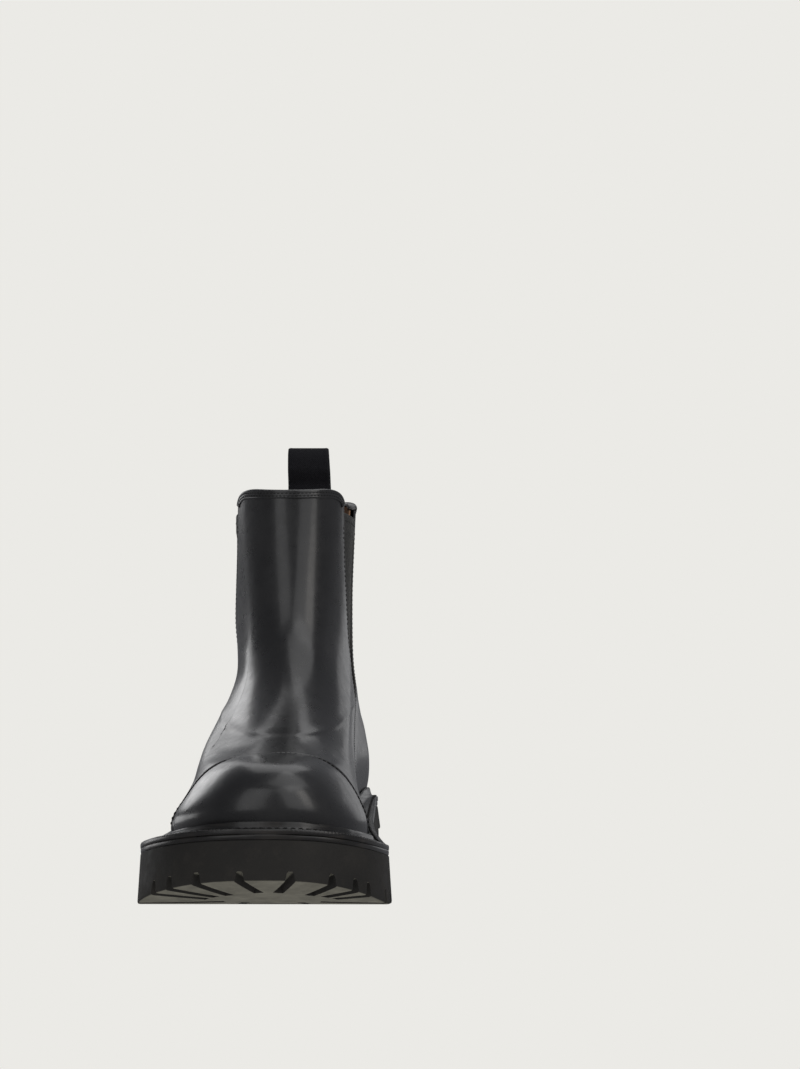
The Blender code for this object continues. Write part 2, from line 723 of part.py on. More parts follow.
def binding_section(turn, v):
    """The folded tape over a panel's top edge: a U over leather, gore and lining."""
    point, normal, up = last_frame(turn, v)
    outer = LEATHER[0] + BINDING_CLEAR
    inner = LINING[0] - LINING[1] - BINDING_CLEAR
    over = BINDING_CLEAR + 0.1
    wall = BINDING_WALL
    ring = (
        (outer + wall, -BINDING_HEIGHT),
        (outer + wall, over + 0.4 * wall),
        (outer + 0.4 * wall, over + wall),
        (inner - 0.4 * wall, over + wall),
        (inner - wall, over + 0.4 * wall),
        (inner - wall, -BINDING_HEIGHT),
        (inner, -BINDING_HEIGHT),
        (inner, over),
        (outer, over),
        (outer, -BINDING_HEIGHT),
    )
    return [point + normal * depth + up * height for depth, height in ring]


def bindings():
    count = 22
    sections = []
    for k in range(count + 1):
        p = 0.97 * (2 * k / count - 1)
        v = topline_v(corner_share(p, 0.35))
        sections.append(binding_section(front_turn(p, v), v))
    loft("binding_front", "leather", sections)
    sections = []
    for k in range(count + 1):
        a = 0.03 + 0.94 * k / count
        q = 1 - abs(2 * a - 1)
        v = topline_v(corner_share(1 - q, 0.3))
        turn = math.pi if 2 * k == count else rear_turn(q, v, 1 if a < 0.5 else -1) % (2 * math.pi)
        sections.append(binding_section(turn, v))
    loft("binding_rear", "leather", sections)


# ---------------------------------------------------------------- the pull tab

TAB_WIDTH = 21.0
TAB_TAPE = 1.3
TAB_X = 0.6
TAB_Y = 127.2
TAB_PIVOT_Z = 206.5
TAB_RISE = 25.5
TAB_BELLY = 5.2  # half of the loop's thickness where it bulges
TAB_NECK = 1.8  # half of its thickness where the two strands meet at the pivot


def tab_half_thickness(share):
    """Half thickness of the loop at a share of its rise."""
    belly = TAB_NECK + (TAB_BELLY - TAB_NECK) * smooth((share - 0.22) / 0.38)
    return belly * math.sqrt(max(0.0, 1 - max(0.0, (share - 0.72) / 0.28) ** 2))


def pull_tab():
    """A loop of tape seen edge-on: up, over the fold and down again, with a gap for the finger inside."""
    steps = 14
    outer, inner = [], []
    for k in range(steps + 1):
        share = k / steps
        z = TAB_PIVOT_Z - 1.2 + share * (TAB_RISE + 1.2)
        outer.append((tab_half_thickness(share), z))
        gap = tab_half_thickness(share) - TAB_TAPE
        if gap > 0.6 and share < 0.94:
            inner.append((gap, z))
    ring = [(y, z) for y, z in outer] + [(-y, z) for y, z in reversed(outer[:-1])]
    hole = [(y, z) for y, z in inner] + [(-y, z) for y, z in reversed(inner)]
    plate = side_plate("pull_tab", ring, TAB_WIDTH)
    gap_cutter = side_plate("finger_gap", hole, TAB_WIDTH + 6)
    BOOT.objects.unlink(gap_cutter)
    finger_gap = cutter_collection("finger gap")
    finger_gap.objects.link(gap_cutter)
    hide(gap_cutter)
    cut(plate, finger_gap)

    low, high = TAB_PIVOT_Z - 19.0, TAB_PIVOT_Z - 2.9
    ends = [(1.2, high), (1.2, low), (-1.2, low), (-1.2, high)]
    side_plate("pull_tab_end", ends, TAB_WIDTH)


def side_plate(name, outline, width):
    """A flat outline in the y-z plane, centred on the tab's line, extruded along x."""
    sides = (TAB_X - 0.5 * width, TAB_X + 0.5 * width)
    sections = [[Vector((x, TAB_Y + y, z)) for y, z in outline] for x in sides]
    return loft(name, "webbing", sections)


# ---------------------------------------------------------------- the moving groups

SHAFT_HINGE = (108.0, 106.0)  # y and z of the line about which the rear of the shaft leans back
REAR_SHAFT = (
    "shaft_medial", "shaft_lateral", "shaft_lining",
    "shaft_backstay", "binding_rear", "pull_tab_end",
)


def hang(axis_name, y, z, names, under=None):
    """Parents objects to an empty on their joint's axis."""
    axis = bpy.data.objects.new(axis_name, None)
    axis.location = (0, y * MM, z * MM)
    axis.empty_display_size = 0.02
    BOOT.objects.link(axis)
    if under:
        axis.parent = under
        axis.location.y -= under.location.y
        axis.location.z -= under.location.z
    for name in names:
        piece = bpy.data.objects[name]
        piece.parent = axis
        piece.matrix_parent_inverse = Matrix.Translation((0, -y * MM, -z * MM))
    return axis


for old in list(bpy.data.objects):
    bpy.data.objects.remove(old)
BOOT = bpy.data.collections.new("chelsea boot")
CUTTERS = bpy.data.collections.new("cutters")
bpy.context.scene.collection.children.link(BOOT)
bpy.context.scene.collection.children.link(CUTTERS)

sole()
welt()
thread_ring()
inside()
toe_cap()
vamp()
quarters()
back_of_boot()
gores()
bindings()
pull_tab()
shaft_axis = hang("shaft_opening_axis", *SHAFT_HINGE, REAR_SHAFT)
hang("pull_tab_axis", TAB_Y, TAB_PIVOT_Z, ("pull_tab",), shaft_axis)
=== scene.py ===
import json
import math

import bmesh
import bpy
import numpy as np
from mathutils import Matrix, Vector


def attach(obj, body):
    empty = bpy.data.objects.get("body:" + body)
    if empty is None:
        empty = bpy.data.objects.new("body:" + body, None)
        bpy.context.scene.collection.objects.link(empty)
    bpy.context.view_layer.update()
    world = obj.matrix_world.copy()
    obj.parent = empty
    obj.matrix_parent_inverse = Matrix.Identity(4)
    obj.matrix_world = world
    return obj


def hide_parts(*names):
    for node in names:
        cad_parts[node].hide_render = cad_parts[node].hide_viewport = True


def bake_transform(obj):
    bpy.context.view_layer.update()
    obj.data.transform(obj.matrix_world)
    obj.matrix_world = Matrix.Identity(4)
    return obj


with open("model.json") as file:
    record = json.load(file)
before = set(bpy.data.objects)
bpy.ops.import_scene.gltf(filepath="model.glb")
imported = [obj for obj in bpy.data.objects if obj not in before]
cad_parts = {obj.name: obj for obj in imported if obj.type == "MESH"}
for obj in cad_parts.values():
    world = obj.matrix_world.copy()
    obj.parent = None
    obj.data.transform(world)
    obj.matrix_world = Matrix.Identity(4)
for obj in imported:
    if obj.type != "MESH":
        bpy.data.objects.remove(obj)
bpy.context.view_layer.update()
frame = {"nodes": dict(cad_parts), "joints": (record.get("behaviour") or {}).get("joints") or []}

# The looks of the chelsea boot. Every panel is a patch of the same upper surface as in the CAD, only finer:
# turn runs round the boot (0 at the toe and shin, +pi/2 medial, pi at the heel) and v from the feather line
# (0) to the topline (1). Lengths are in millimetres until placed() turns them into metres in the frame.

MM = 0.001
SOLE_LENGTH, SHIFT_X = 310.0, 5.6
TOE_TIP_Y, HEEL_END_Y = -0.5 * SOLE_LENGTH, 0.5 * SOLE_LENGTH
BALL_Y, BALL_BED, TOE_SPRING, HEEL_RISE, RISE_RUN = -60.0, 27.0, 8.5, 23.0, 150.0
WELT, MIDSOLE, STORM_RIDGE, GAP = 2.4, 2.2, 4.6, 0.3
HEEL_BREAST_Y, HEEL_TOP_LIFT, OUTSOLE_HEEL, TREAD_DEPTH = 47.0, 9.0, 12.0, 6.5
ROLL_Y, ROLL_RISE = -88.0, 12.0  # the tread leaves the ground in front of here, and by this much at the tip
SOLE_FLARE, EDGE_INSET = 1.3, 0.8

# Each level: front end (y, height over the bed), back end (y, height), lateral and medial half widths at the
# ball, the waist and the heel, rounded shares of the length at the front and the back, bluntness, and the
# axis' offset.
LEVELS = np.array((
    (-146, 0, 142, 0, 49.0, 41.0, 37.0, 29.0, 34.0, 32.2, 0.30, 0.19, 2.3, 0.0),
    (-149, 9.5, 146.5, 10, 50.3, 42.0, 39.5, 30.2, 36.5, 33.8, 0.30, 0.20, 2.3, 0.0),
    (-146, 19.5, 148, 21, 45.4, 38.8, 40.0, 31.0, 37.0, 34.0, 0.31, 0.21, 2.25, 0.0),
    (-136, 28.6, 147.5, 30, 41.2, 35.2, 39.3, 31.0, 36.5, 33.5, 0.32, 0.22, 2.2, -0.5),
    (-116, 36, 146, 37, 40.0, 32.4, 38.2, 30.5, 36.0, 32.8, 0.34, 0.23, 2.1, -1.0),
    (-92, 41, 144.5, 43, 38.8, 30.8, 36.4, 30.0, 34.8, 31.6, 0.37, 0.25, 2.05, -1.4),
    (-64, 47.5, 143, 49, 35.4, 30.0, 33.4, 29.6, 33.0, 30.6, 0.41, 0.28, 2.0, -1.5),
    (-36, 57, 141.5, 56, 31.4, 29.0, 30.2, 29.0, 30.6, 29.6, 0.45, 0.32, 2.0, -1.3),
    (-12, 68, 140, 64, 28.8, 28.2, 28.4, 28.2, 29.2, 28.8, 0.48, 0.37, 2.0, -1.6),
    (6, 81, 138.5, 74, 28.6, 28.4, 28.4, 28.4, 28.6, 28.6, 0.50, 0.39, 2.05, -2.5),
    (18, 96.5, 137.5, 88, 29.4, 29.4, 29.4, 29.4, 29.4, 29.4, 0.50, 0.41, 2.1, -3.4),
    (25, 115, 137, 106, 29.9, 30.0, 29.9, 30.0, 29.9, 30.0, 0.50, 0.42, 2.15, -3.8),
    (28.5, 136, 137.5, 127, 29.9, 30.5, 29.9, 31.0, 29.9, 31.0, 0.50, 0.43, 2.2, -4.0),
    (30, 159.5, 139, 151, 30.0, 31.2, 30.0, 32.4, 30.0, 32.4, 0.50, 0.44, 2.2, -4.2),
))
TOP_LEVEL = len(LEVELS) - 1
# Rough lengths between the two lowest and the two highest levels, and from the foot to the topline.
FOOT_STEP, TOP_STEP, UPPER_RUN = 10.0, 24.0, 130.0
BALL_SHARES = (0.37, 0.25)
WAIST_SHARE, HEEL_SHARE = 0.58, 0.85
RIDGE_X = 2.5
SOLE_PLAN = np.array((64.0, 52.5, 52.0, 40.5, 42.0, 38.5, 0.27, 0.17, 2.5, 0.0))

GORE_V = 6.5 / TOP_LEVEL
FRONT_EDGE = np.array(((0, -22), (2, 0), (4, 30), (5.5, 58), (6.5, 71), (8, 67), (10, 59), (13, 55)), float)
REAR_EDGE = np.array(((6.5, 80), (8, 93), (10, 103), (13, 108)), float)
CAP_Y, CAP_SWEEP, CAP_SKEW, CAP_LAP = -94.0, 3.0, 14.0, 7.0

JOINTS = {joint["name"]: joint for joint in frame["joints"]}


# ---------------------------------------------------------------- the last's surface


def smooth(t):
    t = np.clip(t, 0.0, 1.0)
    return t * t * (3 - 2 * t)


def bed(y):
    """Height of the feather line at station y."""
    spring = TOE_SPRING * (np.maximum(0.0, BALL_Y - y) / (BALL_Y - TOE_TIP_Y)) ** 2
    return BALL_BED + spring + HEEL_RISE * smooth((y - BALL_Y) / RISE_RUN)


def eased_bed(y, v):
    """The bed as the upper follows it: the higher a point lies, the more it bridges the bed's bends."""
    bridged = sum(bed(y + 9.0 * k) for k in (-3, -2, -1, 0, 1, 2, 3)) / 7
    return bed(y) + (bridged - bed(y)) * smooth(4.0 * v - 0.3)


def ground_profile(y):
    """Height of the tread's lowest points, which roll up towards the toe."""
    return ROLL_RISE * (np.maximum(0.0, ROLL_Y - y) / (ROLL_Y - TOE_TIP_Y)) ** 1.6


def spline(a, b, c, d, t):
    """Catmull-Rom value between b and c."""
    return b + 0.5 * t * (c - a + t * (2 * a - 5 * b + 4 * c - d + t * (3 * (b - c) + d - a)))


def level(v):
    """The row of the table at v, between its levels."""
    place = np.clip(v, 0.0, 1.0) * TOP_LEVEL
    i = np.minimum(place.astype(int), TOP_LEVEL - 1)
    a, b, c, d = (LEVELS[np.clip(i + k, 0, TOP_LEVEL)] for k in (-1, 0, 1, 2))
    return spline(a, b, c, d, (place - i)[..., None])


def along(table, v):
    """The y of a panel edge at v, between the table's points."""
    place = v * TOP_LEVEL
    last = len(table) - 1
    i = np.clip(np.searchsorted(table[:, 0], place, side="left") - 1, 0, last - 1)
    a, b, c, d = (table[np.clip(i + k, 0, last)] for k in (-1, 0, 1, 2))
    t = np.clip((place - b[..., 0]) / (c[..., 0] - b[..., 0]), 0.0, 1.0)
    return spline(a[..., 1], b[..., 1], c[..., 1], d[..., 1], t)


def plan_x(plan, share, side, ridge=0.0):
    """x of an outline on one side (+1 medial, -1 lateral) at a share of its length."""
    medial = side > 0
    ball, waist, heel = (np.where(medial, plan[..., k + 1], plan[..., k]) for k in (0, 2, 4))
    ball_share = np.where(medial, BALL_SHARES[1], BALL_SHARES[0])
    to_waist = smooth((share - ball_share) / (WAIST_SHARE - ball_share))
    to_heel = smooth((share - WAIST_SHARE) / (HEEL_SHARE - WAIST_SHARE))
    half = ball + (waist - ball) * to_waist + (heel - waist) * to_heel
    out = np.maximum(0.0, np.maximum(1 - share / plan[..., 6], 1 - (1 - share) / plan[..., 7]))
    rounding = np.maximum(0.0, 1 - out ** plan[..., 8]) ** (1 / plan[..., 8])
    return plan[..., 9] + ridge * (1 - share) * (1 - rounding) + side * half * rounding


def side_of(turn):
    """+1 on the medial side and -1 on the lateral side."""
    return np.where(np.sin(turn) >= 0, 1.0, -1.0)


def last_point(turn, v):
    """The upper's outer surface, in millimetres."""
    turn, v = np.broadcast_arrays(np.asarray(turn, float), np.asarray(v, float))
    row = level(v)
    share = 0.5 * (1 - np.cos(turn))
    y = row[..., 0] + share * (row[..., 2] - row[..., 0])
    x = plan_x(row[..., 4:], share, side_of(turn), RIDGE_X)
    return np.stack([x, y, eased_bed(y, v) + row[..., 1] + (row[..., 3] - row[..., 1]) * share], axis=-1)


def unit(vectors):
    return vectors / np.maximum(np.linalg.norm(vectors, axis=-1, keepdims=True), 1e-9)


def running(path):
    """Length along a path up to each of its points."""
    return np.concatenate([[0.0], np.cumsum(np.linalg.norm(np.diff(path, axis=0), axis=1))])


def last_frame(turn, v):
    """Point, outward normal and upward tangent of the upper's surface."""
    step = 0.012
    above, below = np.minimum(v + step / 2, 1.0), np.maximum(v - step / 2, 0.0)
    up = unit(last_point(turn, above) - last_point(turn, below))
    around = last_point(turn + step, v) - last_point(turn - step, v)
    return last_point(turn, v), unit(np.cross(around, up)), up


def turn_at(y, v):
    """The turn, without its side, at which the upper's surface reaches y."""
    row = level(v)
    share = np.clip((y - row[..., 0]) / (row[..., 2] - row[..., 0]), 0.0, 1.0)
    return np.arccos(1 - 2 * share)


def placed(points):
    return (np.asarray(points) + (SHIFT_X, 0.0, 0.0)) * MM


# ---------------------------------------------------------------- mesh building


def mesh_object(name, points, faces, look, body=None):
    """A smooth-shaded mesh from points in metres; faces is a list of lists, and look a material and a slot
    name. The slot name is not used.
    """
    material, slot = look
    data = bpy.data.meshes.new(name)
    corners = [face for part in faces for face in part]
    data.from_pydata(np.asarray(points).reshape(-1, 3).tolist(), [], corners)
    solid = bmesh.new()
    solid.from_mesh(data)
    if solid.calc_volume(signed=True) < 0:
        bmesh.ops.reverse_faces(solid, faces=solid.faces)
    solid.to_mesh(data)
    solid.free()
    data.materials.append(material)
    data.shade_smooth()
    made = bpy.data.objects.new(name, data)
    bpy.context.scene.collection.objects.link(made)
    if body:
        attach(made, body)
    return made


def grid_faces(rows, columns, start=0, flip=False):
    """Quads over a grid of points stored row by row."""
    index = start + np.arange(rows * columns).reshape(rows, columns)
    quads = np.stack([index[:-1, :-1], index[1:, :-1], index[1:, 1:], index[:-1, 1:]], axis=-1).reshape(-1, 4)
    return (quads[:, ::-1] if flip else quads).tolist()


def rim_faces(rows, columns, offset):
    """Quads that join the borders of two grids, the second stored offset places after the first."""
    index = np.arange(rows * columns).reshape(rows, columns)
    ring = np.concatenate([index[0, :-1], index[:-1, -1], index[-1, :0:-1], index[:0:-1, 0]])
    after = np.roll(ring, -1)
    return np.stack([ring, after, after + offset, ring + offset], axis=-1).tolist()


def cleaned(piece):
    """Takes out edges and faces with no size."""
    solid = bmesh.new()
    solid.from_mesh(piece.data)
    bmesh.ops.dissolve_degenerate(solid, dist=0.02 * MM, edges=solid.edges)
    solid.to_mesh(piece.data)
    solid.free()
    return piece


# Distances from a panel's edge and how far the surface drops there, in millimetres: ROUNDED eases the cut
# edge over, and FURROW is pressed in round each row of stitches.
ROUNDED = ((0.0, 0.5), (0.1, 0.2), (0.3, 0.04), (0.6, 0.0))
CUT_WIDTH = 0.9  # the worn look of a cut edge ends here
FURROW = ((-0.6, 0.0), (-0.2, 0.06), (0.0, 0.12), (0.2, 0.06), (0.6, 0.0))
PLAIN = ((0.0, 0.0),)


def edge(*rows, press=1.0):
    """A rounded edge with furrows for rows of stitches at these distances."""
    marks = list(ROUNDED)
    for row in rows:
        marks += [(row + distance, press * drop) for distance, drop in FURROW]
    return tuple(marks) + ((max(rows, default=1.0) + 1.4, 0.0),)


def lengths(where):
    """Lengths of a panel across (for each b) and up (for each a), in millimetres."""
    a, b = np.meshgrid(np.linspace(0, 1, 25), np.linspace(0, 1, 25), indexing="ij")
    points = last_point(*where(a, b))
    across = np.linalg.norm(np.diff(points, axis=0), axis=-1).sum(axis=0)
    upward = np.linalg.norm(np.diff(points, axis=1), axis=-1).sum(axis=1)
    return across, upward


def spread(count, near, far, length):
    """Grid places from 0 to 1 with extra lines at both edges' marks; length holds one per line across."""
    length = length[None, :]
    first = np.array([mark[0] for mark in near])[:, None] / length
    last = 1 - np.array([mark[0] for mark in far])[::-1, None] / length
    middle = np.linspace(0, 1, count + 2)[1:-1, None] * (last[:1] - first[-1:]) + first[-1:]
    drops = [mark[1] for mark in near] + [0.0] * count + [mark[1] for mark in far][::-1]
    cuts = [[float(drop > 0 and distance < CUT_WIDTH) for distance, drop in marks] for marks in (near, far)]
    cut = cuts[0] + [0.0] * count + cuts[1][::-1]
    return np.concatenate([first, middle, last]), np.array(drops), np.array(cut)


def write(piece, name, values):
    """Stores one number per vertex."""
    made = piece.data.attributes.new(name, "FLOAT", "POINT")
    made.data.foreach_set("value", values.astype(np.float32))


def sheet(name, where, look, layer, columns, rows, edges, relief, body=None):
    """A closed sheet on the upper: where(a, b) gives (turn, v); edges are left, right, bottom and top."""
    depth, thickness = layer
    left, right, bottom, top = edges
    across, upward = lengths(where)
    samples = np.linspace(0, 1, len(across))
    n, m = columns + len(left) + len(right), rows + len(bottom) + len(top)
    a, drop_a, cut_a = spread(columns, left, right, np.interp(np.linspace(0, 1, m), samples, across))
    b, drop_b, cut_b = spread(rows, bottom, top, np.interp(np.linspace(0, 1, n), samples, upward))
    turn, v = where(a, b.T)
    point, normal, _ = last_frame(turn, v)
    face = depth + relief(turn, v, a, b.T)
    drop = np.maximum(drop_a[:, None], drop_b[None, :])
    outer = point + normal * (face - drop)[..., None]
    inner = point + normal * (face - thickness)[..., None]
    points = placed(np.concatenate([outer.reshape(-1, 3), inner.reshape(-1, 3)]))
    faces = [grid_faces(n, m), grid_faces(n, m, n * m, True), rim_faces(n, m, n * m)]
    made = mesh_object(name, points, faces, look, body)
    cut = np.maximum(cut_a[:, None], cut_b[None, :]).ravel()
    write(made, "cut", np.concatenate([cut, np.ones(n * m)]))
    write(made, "raised", np.concatenate([(face - depth).ravel(), np.zeros(n * m)]))
    return made


def loft(name, sections, look, closed=False, body=None):
    """A solid through sections, an array of (sections, points, 3) in millimetres."""
    sections = np.asarray(sections)
    n, m = sections.shape[:2]
    rings = np.arange(n * m).reshape(n, m)
    after = np.roll(rings, -1, axis=0) if closed else rings[1:]
    before = rings if closed else rings[:-1]
    quads = np.stack([before, np.roll(before, -1, axis=1), np.roll(after, -1, axis=1), after], axis=-1)
    faces = [quads.reshape(-1, 4).tolist()]
    if not closed:
        faces.append([rings[0][::-1].tolist(), rings[-1].tolist()])
    return mesh_object(name, placed(sections), faces, look, body)


def bend(piece, gore=False):
    """Bakes a piece's placement into its mesh. For a gore it also reads out the vertex places, which nothing
    uses.
    """
    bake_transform(piece)
    if gore:
        count = len(piece.data.vertices)
        places = np.empty(count * 3)
        piece.data.vertices.foreach_get("co", places)
    return piece


# ---------------------------------------------------------------- stitches

STITCH_RINGS, STITCH_SIDES = 7, 6


def at_runs(values, run, places):
    """Values along a path, read at other running lengths."""
    return np.stack([np.interp(places, run, column) for column in values.T], axis=-1)


def in_frame(axis, values):
    """Steps along one axis of each stitch: one row per stitch, one column per value."""
    return axis[:, None, :] * values[None, :, None]


def stitches(name, path, normals, pitch, radius, fill=0.74, body=None):
    """A row of separate stitches along a path, each one arched with its ends drawn into the leather."""
    run = running(path)
    count = int(run[-1] / pitch)
    centres = (np.arange(count) + 0.5) * run[-1] / count
    centre, normal = at_runs(path, run, centres), unit(at_runs(normals, run, centres))
    ahead, behind = (at_runs(path, run, centres + step * pitch) for step in (0.2, -0.2))
    tangent = unit(ahead - behind)
    side = np.cross(tangent, normal)
    s = np.linspace(-1, 1, STITCH_RINGS)
    angle = np.arange(STITCH_SIDES) * 2 * math.pi / STITCH_SIDES
    thick = radius * np.sqrt(np.clip(1 - 0.75 * s**4, 0.0, 1.0))
    lift = radius * (0.45 - 1.5 * s**4)
    x = np.repeat(s * 0.5 * fill * pitch, STITCH_SIDES)
    y = (thick[:, None] * np.cos(angle)).ravel()
    z = (lift[:, None] + thick[:, None] * np.sin(angle)).ravel()
    points = centre[:, None, :] + in_frame(tangent, x) + in_frame(side, y) + in_frame(normal, z)
    size = STITCH_RINGS * STITCH_SIDES
    rings = np.arange(size).reshape(STITCH_RINGS, STITCH_SIDES)
    after = np.roll(rings, -1, axis=1)
    quads = np.stack([rings[:-1], after[:-1], after[1:], rings[1:]], axis=-1)
    starts = (np.arange(count) * size)[:, None, None]
    faces = [(quads.reshape(1, -1, 4) + starts).reshape(-1, 4).tolist()]
    faces.append((rings[0][::-1][None] + starts[:, 0]).tolist())
    faces.append((rings[-1][None] + starts[:, 0]).tolist())
    return mesh_object(name, placed(points.reshape(-1, 3)), faces, THREAD, body)


def edge_row(where, which, distance, depth, relief, start, end):
    """Path and normals of a stitch row inside a panel's left, right or top edge, at a distance from it."""
    across, upward = lengths(where)
    samples = np.linspace(0, 1, len(across))
    run = np.linspace(start, end, 300)
    near = distance / np.interp(run, samples, upward if which == "top" else across)
    a, b = {"left": (near, run), "right": (1 - near, run), "top": (run, 1 - near)}[which]
    turn, v = where(a, b)
    point, normal, _ = last_frame(turn, v)
    return point + normal * (depth + relief(turn, v, a, b))[:, None], normal


# ---------------------------------------------------------------- materials


class Look:
    """Builds one procedural material. Its calls return output sockets; textures use object coordinates."""

    def __init__(self, name, colour, roughness, **sockets):
        self.material = bpy.data.materials.new(name)
        self.material.use_nodes = True
        self.tree = self.material.node_tree
        self.shader = self.tree.nodes["Principled BSDF"]
        self.shader.inputs["Base Color"].default_value = (*colour, 1.0)
        self.shader.inputs["Roughness"].default_value = roughness
        for socket, value in sockets.items():
            self.shader.inputs[socket.replace("_", " ")].default_value = value
        self.place = self.node("TexCoord").outputs["Object"]
        self.height = None

    def put(self, socket, value):
        """Links a socket to another one or sets its value."""
        if isinstance(value, bpy.types.NodeSocket):
            self.tree.links.new(value, socket)
        else:
            socket.default_value = value

    def node(self, kind, *inputs, **settings):
        """Adds a node with these settings; inputs holds (socket, value) pairs."""
        made = self.tree.nodes.new("ShaderNode" + kind)
        for name, value in settings.items():
            setattr(made, name, value)
        for socket, value in inputs:
            self.put(made.inputs[socket], value)
        return made

    def stretched(self, scale):
        return self.node("Mapping", ("Scale", scale), ("Vector", self.place)).outputs["Vector"]

    def noise(self, scale, detail=4.0, rough=0.55, where=None):
        inputs = (("Vector", where or self.place), ("Scale", scale), ("Detail", detail), ("Roughness", rough))
        return self.node("TexNoise", *inputs).outputs[0]

    def cells(self, scale, feature="F1", where=None):
        inputs = (("Vector", where or self.place), ("Scale", scale))
        return self.node("TexVoronoi", *inputs, feature=feature).outputs["Distance"]

    def wave(self, scale, direction="X", where=None, warp=0.0):
        inputs = (("Vector", where or self.place), ("Scale", scale), ("Distortion", warp))
        fine = (("Detail", 1.0), ("Detail Scale", 0.02 * scale))
        return self.node("TexWave", *inputs, *fine, bands_direction=direction).outputs["Fac"]

    def attribute(self, name):
        return self.node("Attribute", attribute_name=name).outputs["Fac"]

    def underside(self):
        """1 where the surface faces down, 0 elsewhere."""
        split = self.node("SeparateXYZ")
        self.put(split.inputs[0], self.node("TexCoord").outputs["Normal"])
        return self.span(split.outputs["Z"], -0.55, -0.85)

    def math(self, operation, a, b):
        return self.node("Math", (0, a), (1, b), operation=operation).outputs[0]

    def span(self, value, low, high, to_low=0.0, to_high=1.0):
        """Moves a value from the range low to high into the range to_low to to_high."""
        return self.node("MapRange", *enumerate((value, low, high, to_low, to_high))).outputs[0]

    def mix(self, share, a, b):
        """A colour between a and b."""
        a, b = ((*colour, 1.0) if isinstance(colour, tuple) else colour for colour in (a, b))
        inputs = (("Factor", share), (6, a), (7, b))
        return self.node("Mix", *inputs, data_type="RGBA", clamp_factor=True).outputs[2]

    def colour(self, socket):
        self.put(self.shader.inputs["Base Color"], socket)

    def rough(self, socket):
        self.put(self.shader.inputs["Roughness"], socket)

    def bump(self, height, distance, strength=1.0, coat=True):
        """Adds relief; distance is the height of a full step of the texture, in millimetres."""
        inputs = (("Strength", strength), ("Distance", distance * MM), ("Height", height))
        below = () if self.height is None else (("Normal", self.height),)
        self.height = self.node("Bump", *inputs, *below).outputs["Normal"]
        for socket in ("Normal", "Coat Normal") if coat else ("Normal",):
            self.put(self.shader.inputs[socket], self.height)


def polished_leather():
    look = Look("upper_leather", (0.010, 0.010, 0.011), 0.3, Coat_Weight=0.4, Coat_Roughness=0.17)
    dye = look.noise(38.0, 5.0, 0.6)
    cloud = look.noise(210.0, 3.0)
    cut = look.attribute("cut")
    base = look.mix(look.span(dye, 0.35, 0.7), (0.0115, 0.0115, 0.0125), (0.0185, 0.0183, 0.0192))
    fibre = look.mix(look.noise(900.0, 3.0), (0.018, 0.015, 0.013), (0.042, 0.036, 0.031))
    worn = look.math("MULTIPLY", cut, look.span(look.noise(160.0, 3.0), 0.3, 0.62))
    look.colour(look.mix(look.math("MULTIPLY", worn, 0.8), base, fibre))
    gloss = look.span(cloud, 0.3, 0.72, 0.26, 0.36)
    look.rough(look.math("ADD", gloss, look.math("MULTIPLY", worn, 0.25)))
    pores = look.cells(1500.0, "SMOOTH_F1")
    creases = look.cells(620.0, "DISTANCE_TO_EDGE", look.stretched((1.0, 1.0, 0.72)))
    drawn = look.noise(240.0, 4.0, 0.6, look.stretched((0.3, 0.3, 2.6)))
    look.bump(look.noise(70.0, 2.0), 0.3, 0.5)
    look.bump(drawn, 0.02, 0.6)
    look.bump(look.span(creases, 0.0, 0.2), 0.006, 0.4, coat=False)
    look.bump(pores, 0.008, 0.5, coat=False)
    return look.material


def edge_leather():
    look = Look("edge_leather", (0.010, 0.0095, 0.0095), 0.34, Coat_Weight=0.25, Coat_Roughness=0.22)
    layers = look.noise(260.0, 4.0, 0.6, look.stretched((0.12, 0.12, 3.2)))
    blots = look.noise(60.0, 4.0)
    worn = look.math("MULTIPLY", look.span(blots, 0.48, 0.72), look.span(layers, 0.4, 0.7))
    look.colour(look.mix(worn, (0.010, 0.0095, 0.0095), (0.034, 0.029, 0.025)))
    look.rough(look.span(layers, 0.3, 0.75, 0.22, 0.42))
    look.bump(layers, 0.09, 0.7)
    look.bump(look.noise(1400.0, 2.0), 0.02, 0.6, coat=False)
    return look.material


def lining_leather():
    look = Look("lining_leather", (0.30, 0.16, 0.075), 0.62, Sheen_Weight=0.15, Sheen_Roughness=0.5)
    patches = look.noise(55.0, 5.0, 0.6)
    nap = look.noise(2200.0, 3.0, 0.7)
    tan = look.mix(look.span(patches, 0.3, 0.72), (0.20, 0.098, 0.045), (0.36, 0.20, 0.10))
    look.colour(look.mix(look.math("MULTIPLY", nap, 0.35), tan, (0.13, 0.062, 0.028)))
    look.rough(look.span(patches, 0.3, 0.7, 0.5, 0.72))
    look.bump(look.cells(900.0, "DISTANCE_TO_EDGE"), 0.06, 0.5)
    look.bump(nap, 0.04, 0.7)
    return look.material


def elastic():
    look = Look("elastic", (0.035, 0.035, 0.034), 0.85, Sheen_Weight=0.25, Sheen_Roughness=0.4)
    picks = look.wave(540.0, "Z", warp=0.4)
    fuzz = look.noise(2600.0, 3.0, 0.7)
    worn = look.noise(90.0, 4.0)
    groove = look.span(look.attribute("raised"), 0.22, -0.12)
    base = look.mix(look.span(worn, 0.3, 0.7), (0.030, 0.030, 0.029), (0.052, 0.051, 0.048))
    dark = look.mix(look.math("MULTIPLY", picks, 0.45), base, (0.014, 0.014, 0.014))
    look.colour(look.mix(groove, (0.009, 0.009, 0.009), dark))
    look.rough(look.span(fuzz, 0.3, 0.7, 0.75, 0.95))
    look.bump(picks, 0.16, 0.8)
    look.bump(fuzz, 0.08, 0.7)
    return look.material


